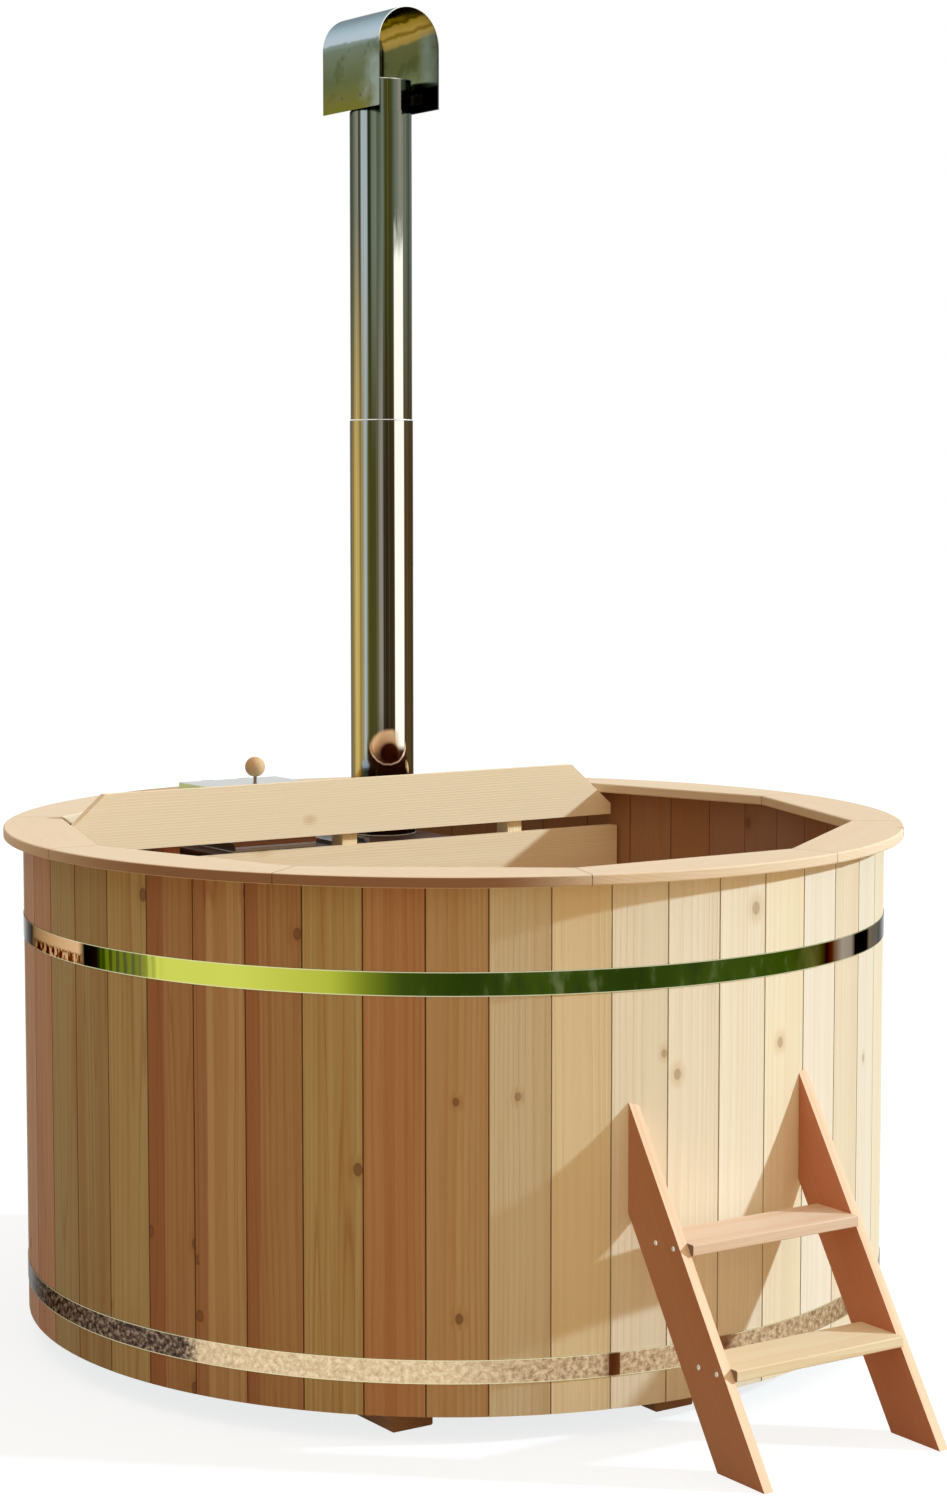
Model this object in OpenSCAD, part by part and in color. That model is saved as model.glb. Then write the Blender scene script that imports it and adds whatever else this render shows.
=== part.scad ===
// Round wooden hot tub with an internal wood-burning stove, a board guard in
// front of the stove, benches, a leaning two-step ladder and a drain valve.
// Origin: on the ground, under the axis of the tub. +Z is up, +Y is the stove's
// side and -Y is the ladder's side. All lengths are in millimetres.

/* [Tub wall] */
// Outer radius of the wall
tub_r = 900; // [850:5:950]
// Height of a stave
stave_h = 985; // [900:5:1100]
// Thickness of a stave
stave_t = 42; // [36:1:48]
// Number of staves in the ring
stave_count = 49; // [45:1:53]
// Radius of the round bead along one edge of a stave
bead_r = 9; // [7:0.5:11]
// Depth of the V groove at the outside of each seam
seam_groove = 1.6; // [0.8:0.2:3]
// Height of the wall's lower edge above the ground
wall_lift = 50; // [40:5:70]

/* [Floor and beams] */
// Thickness of the floor boards
floor_t = 42; // [36:1:48]
// Number of floor boards
floor_board_count = 13; // [11:1:15]
// Depth of the croze groove that holds the floor
croze_depth = 10.5; // [8:0.5:14]
// Height of the beams under the floor
beam_h = 95; // [80:1:110]
// Width of a beam
beam_w = 90; // [70:1:110]
// Distance between the middles of neighbouring beams
beam_pitch = 482; // [440:2:500]
// How far the middle beam's ends stand back from the outside of the wall
beam_set = 93; // [70:1:150]
// How much shorter than the middle beam an outer beam is at each end
outer_beam_set = 173; // [160:1:220]

/* [Rim] */
// Number of boards in the rim
rim_board_count = 10; // [10:1:12]
// How far the rim stands out beyond the wall
rim_overhang = 40; // [30:1:50]
// Width of a rim board at its middle
rim_board_w = 146; // [130:1:160]
// Thickness of the rim boards
rim_t = 21; // [18:0.5:28]
// Radius of the rim's rounded edges
rim_edge_r = 3.5; // [2:0.5:6]

/* [Hoops] */
// Height of a hoop band
hoop_h = 45; // [35:1:55]
// Thickness of a hoop band
hoop_t = 1.5; // [1:0.1:3]
// Height of the lower hoop's bottom edge above the ground
lower_hoop_z = 112.5; // [105:0.5:118]
// Height of the upper hoop's bottom edge above the ground
upper_hoop_z = 832; // [700:1:860]
// Direction of the hoop joints, away from the ladder
hoop_joint_angle = 57; // [45:1:66]
// Open length between the two ends of a hoop
hoop_gap = 56; // [40:1:70]

/* [Stove guard] */
// Number of boards in the guard
guard_board_count = 6; // [4:1:6]
// Thickness of a guard board
guard_t = 20; // [16:1:24]
// Height of a guard board
guard_board_h = 122; // [100:1:122]
// Open gap between guard boards
guard_gap = 27; // [15:1:27]
// Open space between the guard and the stove
guard_space = 52; // [48:1:60]
// How far the guard stands up above the rim
guard_rise = 50; // [34:1:54]
// Length of the sloping cut at the ends of the top board
guard_slope_run = 112; // [110:1:140]
// Drop of the sloping cut at the ends of the top board
guard_slope_drop = 97; // [90:1:99]
// Open space between the ends of the top board and the wall
guard_end_space = 18.8; // [16:0.1:36]
// Width of a guard post, seen from the bathers' side
guard_post_w = 38; // [30:1:45]
// Depth of a guard post, towards the stove
guard_post_d = 45; // [38:1:45]
// Sideways place of the middle post
guard_post_x = 9; // [0:1:12]
// Distance between the middles of neighbouring posts
guard_post_pitch = 448; // [430:1:460]

/* [Stove] */
// Length of the stove's body
stove_l = 612; // [590:1:620]
// Depth of the stove's body from front to back
stove_d = 275; // [250:1:285]
// Open space between the stove's back and the middle of the wall behind it
stove_space = 93; // [86:1:97]
// Sideways place of the middle of the stove
stove_x = 6; // [0:1:10]
// Sheet thickness of the stove's body
stove_wall = 4; // [3:0.5:6]
// Height of the stove's feet
stove_foot_h = 60; // [50:1:80]
// How far the stove's walls end below the rim
stove_drop = 111; // [106:1:126]
// Thickness of the stove's top plate
stove_plate_t = 5; // [4:0.5:8]
// Number of bars in the fire grate
grate_bar_count = 12; // [8:1:14]

/* [Fuel hatch] */
// Outside width and depth of the hatch neck
neck_w = 206; // [190:1:210]
// Sheet thickness of the hatch neck
neck_wall = 3; // [2:0.5:4]
// Sideways place of the middle of the hatch
hatch_x = -152; // [-156:1:-148]
// Width of the lid
lid_w = 250; // [240:1:254]
// Depth of the lid from front to back
lid_d = 238; // [234:1:240]
// How far the lid's top face lies below the guard's top edge
lid_drop = 16; // [10:1:21]
// Sheet thickness of the lid
lid_t = 3; // [2:0.5:4]
// Height of the lid's folded edge
lid_skirt = 22; // [18:1:24]
// Diameter of the hinge pin
hinge_pin_d = 6; // [5:0.5:7]
// Diameter of the wooden ball on the lid
knob_d = 45; // [38:1:50]
// Diameter of the stem under the ball
stem_d = 8; // [6:1:10]

/* [Air slide] */
// Width and depth of the air inlet
air_hole = 60; // [40:1:64]
// Thickness of the slide plate
slide_t = 3; // [2:0.5:4]

/* [Chimney] */
// Sideways place of the chimney
chimney_x = 222; // [218:1:226]
// Distance from the stove's front face to the chimney's axis
chimney_set = 150; // [145:1:160]
// Outer diameter of the lower pipe
pipe_d = 146; // [140:1:150]
// Wall thickness of the pipes
pipe_wall = 1.5; // [1:0.1:2]
// Height of the lower pipe's top edge above the ground
pipe_joint_z = 1908; // [1800:1:1950]
// Height of the upper pipe's top edge above the ground
pipe_top_z = 2605; // [2500:1:2640]
// Length of pipe that is pushed into the next one
pipe_plug = 60; // [40:1:80]

/* [Chimney hood] */
// Width of the hood
hood_w = 160; // [156:1:168]
// Length of the hood along its open ends
hood_l = 243; // [220:1:260]
// Height of the hood's straight sides
hood_side_h = 144; // [120:1:160]
// Sheet thickness of the hood
hood_t = 1.5; // [1:0.1:2]
// Height of the hood's sleeve above the upper pipe
sleeve_rise = 71; // [50:1:90]

/* [Ladder] */
// Clear width between the ladder's sides
ladder_w = 392; // [360:1:420]
// Sideways place of the middle of the ladder
ladder_x = 21; // [0:1:25]
// Thickness of the ladder's side boards
ladder_side_t = 20; // [18:1:24]
// Length of a side board's foot on the ground
ladder_foot = 132; // [120:1:140]
// Height of the side boards' top corners above the upper step
ladder_above = 295.4; // [280:0.1:320]
// Slope of the ladder's side boards in degrees
ladder_rake = 57.3; // [55:0.1:60]
// Height of the lower step's top face
step_z = 190; // [170:1:210]
// Height from one step to the next
step_rise = 200; // [180:1:210]
// Depth of a step
step_d = 120; // [100:1:130]
// Thickness of a step
step_t = 20.5; // [18:0.5:28]
// How far a step stands out in front of the side boards
step_nose = 19.5; // [10:0.5:25]

/* [Benches] */
// Height of the seats' top face above the tub's floor
seat_h = 340; // [300:5:420]
// Thickness of the seat slats
slat_t = 28; // [22:1:34]
// Width of a seat slat
slat_w = 108; // [90:1:108]
// Open gap between seat slats
slat_gap = 12; // [6:1:12]
// Number of slats in each seat
slat_count = 3; // [2:1:3]
// Number of straight seats round the wall
seat_count = 6; // [3:1:6]
// Width of the seat bearers and their legs
bearer_w = 45; // [38:1:50]

/* [Drain] */
// Height of the drain's axis above the ground
drain_z = 196; // [194:1:230]
// Outer diameter of the drain pipe
drain_pipe_d = 34; // [30:1:36]
// Inner diameter of the drain pipe
drain_bore_d = 25; // [20:1:27]
// Diameter of the drain's two flanges
drain_flange_d = 64; // [56:1:66]
// Length of the lever's arm
lever_l = 92; // [70:1:110]

/* [Hidden] */
$fn = 64;
// Facets of the large rings
ring_fn = 360;
// Clearance between fixed pieces that are fitted by hand
seat_gap = 0.3;
// Open width of a joint between neighbouring staves, boards or slats
board_joint = 0.3;
// Clearance round a turning pin
pin_gap = 0.05;
// Length by which a cutter stands out beyond what it cuts
cut = 2;

// Tub wall, floor and rim
stave_pitch = 360 / stave_count;
first_seam = -90;
wall_in = tub_r - stave_t;
wall_top = wall_lift + stave_h;
bead_at = tub_r - stave_t / 2;
bead_gap = 0.2;
floor_z = beam_h;
floor_top = floor_z + floor_t;
croze_r = wall_in + croze_depth;
floor_r = croze_r - seat_gap;
floor_pitch = 2 * floor_r / floor_board_count;
tongue_t = 12;
tongue_l = 8;
beam_shift = -30;
beam_edge = 4;
middle_beam_l = 2 * (tub_r - beam_set);
outer_beam_l = middle_beam_l - 2 * outer_beam_set;
rim_r = tub_r + rim_overhang;
rim_inner = rim_r - rim_board_w;
rim_top = wall_top + rim_t;
rim_step = 360 / rim_board_count;
rim_joint_gap = 0.3;

// Hoops
hoop_zs = [lower_hoop_z, upper_hoop_z];
lug_d = 30;
lug_w = 12;
lug_h = 36;
lug_set = 4;
lug_in = hoop_gap / 2 + lug_set;
lug_far = lug_in + lug_w;
hoop_bolt_d = 12;
hoop_bolt_head_d = 20;
hoop_bolt_head_h = 8;
hoop_bolt_nut_h = 10;
hoop_bolt_end = 22;
hoop_bolt_r = tub_r + hoop_t + lug_d / 2;

// Guard
stove_y = wall_in - stove_space - stove_d;
guard_back = stove_y - guard_space;
guard_y = guard_back - guard_t;
guard_pitch = guard_board_h + guard_gap;
guard_half = sqrt(pow(wall_in, 2) - pow(guard_back, 2)) - seat_gap;
guard_wide_half = guard_half - guard_end_space;
guard_top_half = guard_wide_half - guard_slope_run;
guard_top_z = rim_top + guard_rise;
guard_edge = 2.5;
guard_post_top = guard_top_z - 20;
guard_post_ids = [-1, 0, 1];
guard_screw_d = 5;
guard_screw_head_d = 9;
guard_screw_head_h = 2;
guard_screw_l = guard_post_d + guard_t - 5;
guard_screw_spread = 30;

// Stove
stove_z = floor_top + stove_foot_h;
stove_back = stove_y + stove_d;
stove_left = stove_x - stove_l / 2;
stove_right = stove_x + stove_l / 2;
plate_lip = 6;
stove_top_z = rim_top - stove_drop;
plate_top = stove_top_z + stove_plate_t;
grate_z = stove_z + 110;
grate_bar = 10;
ledge_w = 10;
ledge_t = 4;
ash_gap = 14;
pan_wall = 2;
pan_h = 60;
foot_w = 40;
foot_wall = 5;
foot_set = 10;
chimney_y = stove_y + chimney_set;
baffle_x = chimney_x - pipe_d / 2 - 40;
baffle_t = 6;

// Fuel hatch
neck_in = neck_w - 2 * neck_wall;
neck_set = 2;
neck_y = stove_y - neck_set + neck_w / 2;
lid_top_z = guard_top_z - lid_drop;
neck_top = lid_top_z - lid_t - seat_gap;
neck_flange_z = plate_top + 16;
neck_flange_t = 5;
neck_flange_w = 6;
lid_overhang = 13;
lid_back = neck_y + neck_w / 2 + lid_overhang;
lid_front = lid_back - lid_d;
hinge_set = 8;
hinge_drop = 6;
hinge_y = lid_back + hinge_set;
hinge_z = lid_top_z - hinge_drop;
lid_web = 6;
knuckle_d = hinge_pin_d + 6;
knuckle_w = 14;
knuckle_gap = 0.4;
hinge_at = 55;
bracket_t = 4;
bracket_z = lid_top_z - lid_skirt - 18;
pin_end = 4;
knob_y = (lid_front + lid_back) / 2 - 8;
stem_h = 26;
stem_plug = 8;
stem_nut_h = 3;
knob_foot = 2;
knob_z = lid_top_z + stem_h - stem_plug + knob_d / 2 - knob_foot;

// Air slide
slide_travel = air_hole + 10;
slide_lap = 12;
slide_w = air_hole + 2 * slide_lap;
slide_l = air_hole + 20;
slide_x = (hatch_x + neck_w / 2 + chimney_x - pipe_d / 2) / 2;
slide_y = stove_y + slide_lap;
rail_w = 8;
rail_gap = 0.4;
slide_lift = 0.3;
rail_h = slide_t + 6;
rail_lip = 6;
slide_tab_h = 28;
slide_tab_w = 30;

// Chimney and hood
pipe_r = pipe_d / 2;
upper_r = pipe_r - pipe_wall - seat_gap;
sleeve_r = upper_r - pipe_wall - seat_gap;
collar_h = 46;
collar_wall = 3;
hood_r = hood_w / 2;
bracket_l = 110;
bracket_h = 24;
hood_bracket_t = 2;
hood_block_l = 20;
rivet_spread = 40;
rivet_z = pipe_top_z + 31;
rivet_d = 4;
rivet_head_d = 10;

// Ladder
rake_run = 1 / tan(ladder_rake);
ladder_left = ladder_x - ladder_w / 2;
ladder_right = ladder_x + ladder_w / 2;
ladder_in = -(tub_r - 60);
step_zs = [step_z, step_z + step_rise];
ladder_reach = (step_z + step_rise + ladder_above) * rake_run - ladder_in;
step_edge = 3;
ladder_screw_d = 5;
ladder_screw_head_d = 9;
ladder_screw_l = 55;
ladder_screw_at = [34, 86];

// Benches
seat_top = floor_top + seat_h;
seat_step = 36;
seat_first = -90 - seat_count * seat_step / 2;
seat_wall_gap = 24;
seat_in = wall_in - seat_wall_gap - slat_count * slat_w - (slat_count - 1) * slat_gap;
seat_joint = 4;
slat_edge = 3;
bearer_h = 60;
bearer_in = seat_in / cos(seat_step / 2) + 16;

// Drain
drain_angle = 90;
drain_stave = floor((drain_angle - first_seam) / stave_pitch);
drain_r = drain_pipe_d / 2;
drain_flange_t = 8;
drain_flat = 0.8;
valve_ball_d = 52;
drain_inner_l = 10;
valve_y = tub_r + 44;
valve_end = tub_r + 92;
valve_hex_l = 18;
valve_hex_r = drain_r + 5;
outlet_r = 15;
outlet_l = 14;
lever_z = drain_z + valve_ball_d / 2 + 8;
valve_boss_d = 20;
valve_stem_d = 10;
valve_nut_d = 16;
valve_nut_t = 3.2;
lever_t = 4;
lever_w = 18;
lever_eye_d = 22;

// ---------- Shared shapes ----------

// Rectangle centred on the origin with four rounded corners
module rounded_rect(w, h, r) {
    square([w - 2 * r, h], center = true);
    square([w, h - 2 * r], center = true);
    for (x = [-1, 1], y = [-1, 1])
        translate([x * (w / 2 - r), y * (h / 2 - r)]) circle(r);
}

// Bar along X with rounded long edges, lowest corner at the origin
module bar_x(l, d, h, r) {
    translate([0, d / 2, h / 2])
        rotate([90, 0, 90]) linear_extrude(l) rounded_rect(d, h, r);
}

// Bar along Y with rounded long edges, lowest corner at the origin
module bar_y(w, l, h, r) {
    translate([w / 2, l, h / 2])
        rotate([90, 0, 0]) linear_extrude(l) rounded_rect(w, h, r);
}

// Outline in the YZ plane given as [y, z] points, drawn along X
module side_profile(x, t) {
    translate([x, 0, 0]) rotate([90, 0, 90]) linear_extrude(t) children();
}

// Round tube standing on the origin
module tube(r, wall, h) {
    difference() {
        cylinder(r = r, h = h);
        translate([0, 0, -cut]) cylinder(r = r - wall, h = h + 2 * cut);
    }
}

// Point at a radius and an angle in the XY plane
function polar(r, a) = [r * cos(a), r * sin(a)];

// ---------- Tub wall ----------

// Ring with the wall's thickness, which every stave is a sector of
module wall_ring() {
    translate([0, 0, wall_lift]) difference() {
        cylinder(r = tub_r, h = stave_h, $fn = ring_fn);
        translate([0, 0, -cut]) cylinder(r = wall_in, h = stave_h + 2 * cut, $fn = ring_fn);
    }
}

// Sector of one stave, its outer corners cut back for the seam groove
module stave_sector() {
    half_joint = board_joint / 2 / tub_r * 180 / PI;
    groove = half_joint + seam_groove / tub_r * 180 / PI;
    near = wall_in - 20;
    far = tub_r + 20;
    linear_extrude(wall_top + cut) polygon([
        polar(near, half_joint),
        polar(tub_r - seam_groove, half_joint),
        polar(tub_r, groove),
        polar(far, groove),
        polar(far, stave_pitch - groove),
        polar(tub_r, stave_pitch - groove),
        polar(tub_r - seam_groove, stave_pitch - half_joint),
        polar(near, stave_pitch - half_joint)]);
}

// One stave: a bead along one edge, a matching cove along the other and the
// croze groove across its foot
module stave(i) {
    rotate([0, 0, first_seam + i * stave_pitch]) difference() {
        union() {
            intersection() {
                wall_ring();
                stave_sector();
            }
            rotate([0, 0, stave_pitch]) translate([bead_at, 0, wall_lift])
                cylinder(r = bead_r, h = stave_h);
        }
        translate([bead_at, 0, wall_lift - cut])
            cylinder(r = bead_r + bead_gap, h = stave_h + 2 * cut);
        translate([0, 0, floor_z - seat_gap])
            cylinder(r = croze_r, h = floor_t + 2 * seat_gap, $fn = ring_fn);
    }
}

// Hole for the drain pipe, with a flat seat for the flange on each side
module drain_hole() {
    translate([0, wall_in - 10, drain_z]) rotate([-90, 0, 0]) {
        cylinder(r = drain_r + seat_gap, h = stave_t + 20);
        cylinder(r = drain_flange_d / 2 + 1, h = 10 + drain_flat);
        translate([0, 0, stave_t + 10 - drain_flat])
            cylinder(r = drain_flange_d / 2 + 1, h = 10);
    }
}

module staves() {
    color("burlywood") for (i = [0:stave_count - 1])
        difference() {
            stave(i);
            if (i == drain_stave) drain_hole();
        }
}

// ---------- Floor and beams ----------

// One floor board across the beams, with a tongue and a groove
module floor_board(i) {
    low = -floor_r + i * floor_pitch;
    last = i == floor_board_count - 1;
    board_w = floor_pitch - board_joint;
    tongue_z = floor_z + (floor_t - tongue_t) / 2;
    intersection() {
        translate([0, 0, floor_z]) cylinder(r = floor_r, h = floor_t, $fn = ring_fn);
        difference() {
            union() {
                translate([-floor_r, low, floor_z]) cube([2 * floor_r, board_w, floor_t]);
                if (!last) translate([-floor_r, low, tongue_z])
                    cube([2 * floor_r, board_w + tongue_l, tongue_t]);
            }
            if (i > 0) translate([-floor_r - cut, low - cut, tongue_z - board_joint])
                cube([2 * floor_r + 2 * cut, tongue_l + cut, tongue_t + 2 * board_joint]);
        }
    }
}

module floor_boards() {
    color("peru") for (i = [0:floor_board_count - 1]) floor_board(i);
}

// One beam along Y on the ground, with its long edges eased
module beam(x, l) {
    color("sienna") translate([x - beam_w / 2, -l / 2, 0]) bar_y(beam_w, l, beam_h, beam_edge);
}

module beam_left() { beam(beam_shift - beam_pitch, outer_beam_l); }
module beam_middle() { beam(beam_shift, middle_beam_l); }
module beam_right() { beam(beam_shift + beam_pitch, outer_beam_l); }

// ---------- Rim ----------

// Round plate with its outer edge rounded at the top and the bottom
module rim_disc() {
    rotate_extrude($fn = ring_fn) {
        square([rim_r - rim_edge_r, rim_t]);
        translate([0, rim_edge_r]) square([rim_r, rim_t - 2 * rim_edge_r]);
        for (z = [rim_edge_r, rim_t - rim_edge_r])
            translate([rim_r - rim_edge_r, z]) circle(rim_edge_r, $fn = 32);
    }
}

// Bar across one sector: its inner edge is the rim's straight, rounded edge
module rim_bar() {
    half = rim_r * tan(rim_step / 2);
    translate([rim_inner, half, rim_t / 2]) rotate([90, 0, 0]) linear_extrude(2 * half)
        translate([rim_r / 2, 0]) rounded_rect(rim_r, rim_t, rim_edge_r);
}

// Sector of one rim board, drawn about +X
module rim_sector() {
    far = 2 * rim_r;
    linear_extrude(rim_t) polygon([
        [rim_joint_gap / 2 / sin(rim_step / 2), 0],
        polar(far, rim_step / 2) + [0, -rim_joint_gap / 2],
        polar(far, -rim_step / 2) + [0, rim_joint_gap / 2]]);
}

module rim_board(i) {
    color("wheat") translate([0, 0, wall_top]) rotate([0, 0, (i - 0.5) * rim_step])
        intersection() {
            rim_disc();
            rim_bar();
            rim_sector();
        }
}

// ---------- Hoops ----------

// Flat steel band round the wall, open at its joint
module hoop(z) {
    color("silver") translate([0, 0, z]) difference() {
        cylinder(r = tub_r + hoop_t, h = hoop_h, $fn = ring_fn);
        translate([0, 0, -cut]) cylinder(r = tub_r, h = hoop_h + 2 * cut, $fn = ring_fn);
        rotate([0, 0, hoop_joint_angle]) translate([wall_in, -hoop_gap / 2, -cut])
            cube([2 * stave_t, hoop_gap, hoop_h + 2 * cut]);
    }
}

module upper_hoop() { hoop(upper_hoop_z); }
module lower_hoop() { hoop(lower_hoop_z); }

// Two blocks welded on the ends of each hoop, bored for the tension bolt
module hoop_lugs() {
    color("gray") for (z = hoop_zs, side = [0, 1])
        rotate([0, 0, hoop_joint_angle]) mirror([0, side, 0]) difference() {
            translate([wall_in, lug_in, z + (hoop_h - lug_h) / 2])
                cube([tub_r + hoop_t + lug_d - wall_in, lug_w, lug_h]);
            translate([0, 0, z - cut])
                cylinder(r = tub_r + hoop_t, h = hoop_h + 2 * cut, $fn = ring_fn);
            translate([hoop_bolt_r, 0, z + hoop_h / 2]) rotate([-90, 0, 0])
                cylinder(d = hoop_bolt_d, h = hoop_gap);
        }
}

// Tension bolt through both lugs of each hoop, with its nut
module hoop_bolts() {
    color("silver") for (z = hoop_zs)
        rotate([0, 0, hoop_joint_angle]) translate([hoop_bolt_r, -lug_far, z + hoop_h / 2])
            rotate([-90, 0, 0]) {
                translate([0, 0, -hoop_bolt_head_h])
                    cylinder(d = hoop_bolt_head_d, h = hoop_bolt_head_h, $fn = 6);
                cylinder(d = hoop_bolt_d, h = 2 * lug_far + hoop_bolt_end);
                translate([0, 0, 2 * lug_far])
                    cylinder(d = hoop_bolt_head_d, h = hoop_bolt_nut_h, $fn = 6);
            }
}

// ---------- Stove guard ----------

// Outline of a plain guard board, in X and Z from its lower middle
module guard_outline() {
    translate([0, guard_board_h / 2]) rounded_rect(2 * guard_half, guard_board_h, guard_edge);
}

// Outline of the top board, its upper corners cut off to clear the rim
module guard_top_outline() {
    low_z = guard_board_h - guard_slope_drop;
    polygon([[-guard_wide_half, 0], [guard_wide_half, 0], [guard_wide_half, low_z],
             [guard_top_half, guard_board_h], [-guard_top_half, guard_board_h],
             [-guard_wide_half, low_z]]);
}

function guard_board_z(i) = guard_top_z - guard_board_h - (i - 1) * guard_pitch;

function guard_post_at(p) = guard_post_x + p * guard_post_pitch;

// Runs its children at the screws of board i, with +Z pointing into the board
module at_guard_screws(i) {
    for (p = guard_post_ids, side = [-1, 1])
        translate([guard_post_at(p), guard_back + guard_post_d,
                   guard_board_z(i) + guard_board_h / 2 + side * guard_screw_spread])
            rotate([90, 0, 0]) children();
}

// Shanks of the screws that come through the posts into board i
module guard_screw_shanks(i) {
    at_guard_screws(i) cylinder(d = guard_screw_d, h = guard_screw_l);
}

// Board number i, counted from the top
module guard_board(i) {
    color("moccasin") difference() {
        translate([0, guard_back, guard_board_z(i)]) rotate([90, 0, 0])
            linear_extrude(guard_t) if (i == 1) guard_top_outline(); else guard_outline();
        guard_screw_shanks(i);
    }
}

// Post number p behind the boards, standing on the tub's floor
module guard_post(p) {
    color("tan") difference() {
        translate([guard_post_at(p) - guard_post_w / 2, guard_back, floor_top])
            cube([guard_post_w, guard_post_d, guard_post_top - floor_top]);
        for (i = [1:guard_board_count]) guard_screw_shanks(i);
    }
}

module guard_post_left() { guard_post(guard_post_ids[0]); }
module guard_post_middle() { guard_post(guard_post_ids[1]); }
module guard_post_right() { guard_post(guard_post_ids[2]); }

module guard_screws() {
    color("silver") for (i = [1:guard_board_count]) {
        guard_screw_shanks(i);
        at_guard_screws(i) translate([0, 0, -guard_screw_head_h])
            cylinder(d = guard_screw_head_d, h = guard_screw_head_h);
    }
}

// ---------- Stove ----------

// Welded box, open at the top where the plate closes it, with a ledge for the
// grate along its front and its back
module stove_shell() {
    inner_l = stove_l - 2 * stove_wall;
    color("darkgray") {
        difference() {
            translate([stove_left, stove_y, stove_z])
                cube([stove_l, stove_d, stove_top_z - stove_z]);
            translate([stove_left + stove_wall, stove_y + stove_wall, stove_z + stove_wall])
                cube([inner_l, stove_d - 2 * stove_wall, stove_top_z]);
        }
        for (y = [stove_y + stove_wall, stove_back - stove_wall - ledge_w])
            translate([stove_left + stove_wall, y, grate_z - ledge_t])
                cube([baffle_x - stove_left - stove_wall, ledge_w, ledge_t]);
    }
}

// Four square feet between the stove and the tub's floor
module stove_feet() {
    hollow = foot_w - 2 * foot_wall;
    color("gray") for (x = [stove_left + foot_set, stove_right - foot_set - foot_w],
                       y = [stove_y + foot_set, stove_back - foot_set - foot_w])
        translate([x, y, floor_top]) difference() {
            cube([foot_w, foot_w, stove_foot_h]);
            translate([foot_wall, -cut, foot_wall])
                cube([hollow, foot_w + 2 * cut, stove_foot_h - 2 * foot_wall]);
        }
}

// Top plate with the openings for the fuel, the air and the smoke
module stove_top_plate() {
    color("lightgray") difference() {
        translate([stove_left - plate_lip, stove_y - plate_lip, stove_top_z])
            cube([stove_l + 2 * plate_lip, stove_d + 2 * plate_lip, stove_plate_t]);
        translate([hatch_x - neck_in / 2, neck_y - neck_in / 2, stove_top_z - cut])
            cube([neck_in, neck_in, stove_plate_t + 2 * cut]);
        translate([slide_x - air_hole / 2, slide_y + slide_lap, stove_top_z - cut])
            cube([air_hole, air_hole, stove_plate_t + 2 * cut]);
        translate([chimney_x, chimney_y, stove_top_z - cut])
            cylinder(r = sleeve_r, h = stove_plate_t + 2 * cut);
    }
}

// Bars across the firebox in a frame that rests on the shell's ledges
module fire_grate() {
    inner_l = baffle_x - stove_left - stove_wall - 2 * seat_gap;
    inner_d = stove_d - 2 * stove_wall - 2 * seat_gap;
    pitch = (inner_l - grate_bar) / (grate_bar_count - 1);
    color("dimgray") translate([stove_left + stove_wall + seat_gap,
                                stove_y + stove_wall + seat_gap, grate_z]) {
        for (y = [0, inner_d - grate_bar]) translate([0, y, 0])
            cube([inner_l, grate_bar, grate_bar]);
        for (i = [0:grate_bar_count - 1]) translate([i * pitch, 0, 0])
            cube([grate_bar, inner_d, grate_bar]);
    }
}

// Tray on the bottom of the shell, under the grate
module ash_pan() {
    inner_l = baffle_x - stove_left - stove_wall - 2 * ash_gap;
    inner_d = stove_d - 2 * stove_wall - 2 * ash_gap;
    color("gray") translate([stove_left + stove_wall + ash_gap,
                             stove_y + stove_wall + ash_gap, stove_z + stove_wall])
        difference() {
            cube([inner_l, inner_d, pan_h]);
            translate([pan_wall, pan_wall, pan_wall])
                cube([inner_l - 2 * pan_wall, inner_d - 2 * pan_wall, pan_h]);
        }
}

// Plate between the fire and the flue, open below the top plate
module flue_baffle() {
    color("gray") translate([baffle_x, stove_y + stove_wall + seat_gap, stove_z + stove_wall])
        cube([baffle_t, stove_d - 2 * (stove_wall + seat_gap),
              (stove_top_z - stove_z) * 0.72]);
}

// ---------- Fuel hatch ----------

// Square neck with a flange, welded on the top plate
module hatch_neck() {
    color("silver") translate([hatch_x, neck_y, 0]) difference() {
        union() {
            translate([-neck_w / 2, -neck_w / 2, plate_top])
                cube([neck_w, neck_w, neck_top - plate_top]);
            translate([-neck_w / 2 - neck_flange_w, -neck_w / 2 - neck_flange_w / 2, neck_flange_z])
                cube([neck_w + 2 * neck_flange_w, neck_w + neck_flange_w, neck_flange_t]);
        }
        translate([-neck_in / 2, -neck_in / 2, plate_top - cut])
            cube([neck_in, neck_in, neck_top - plate_top + 2 * cut]);
    }
}

// Hollow knuckle of the lid hinge along X; its children are the web that holds it
module knuckle(x, bore) {
    translate([x - knuckle_w / 2, hinge_y, hinge_z]) difference() {
        union() {
            rotate([0, 90, 0]) cylinder(d = knuckle_d, h = knuckle_w, $fn = 48);
            children();
        }
        translate([-cut, 0, 0]) rotate([0, 90, 0])
            cylinder(d = bore, h = knuckle_w + 2 * cut, $fn = 48);
    }
}

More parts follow.
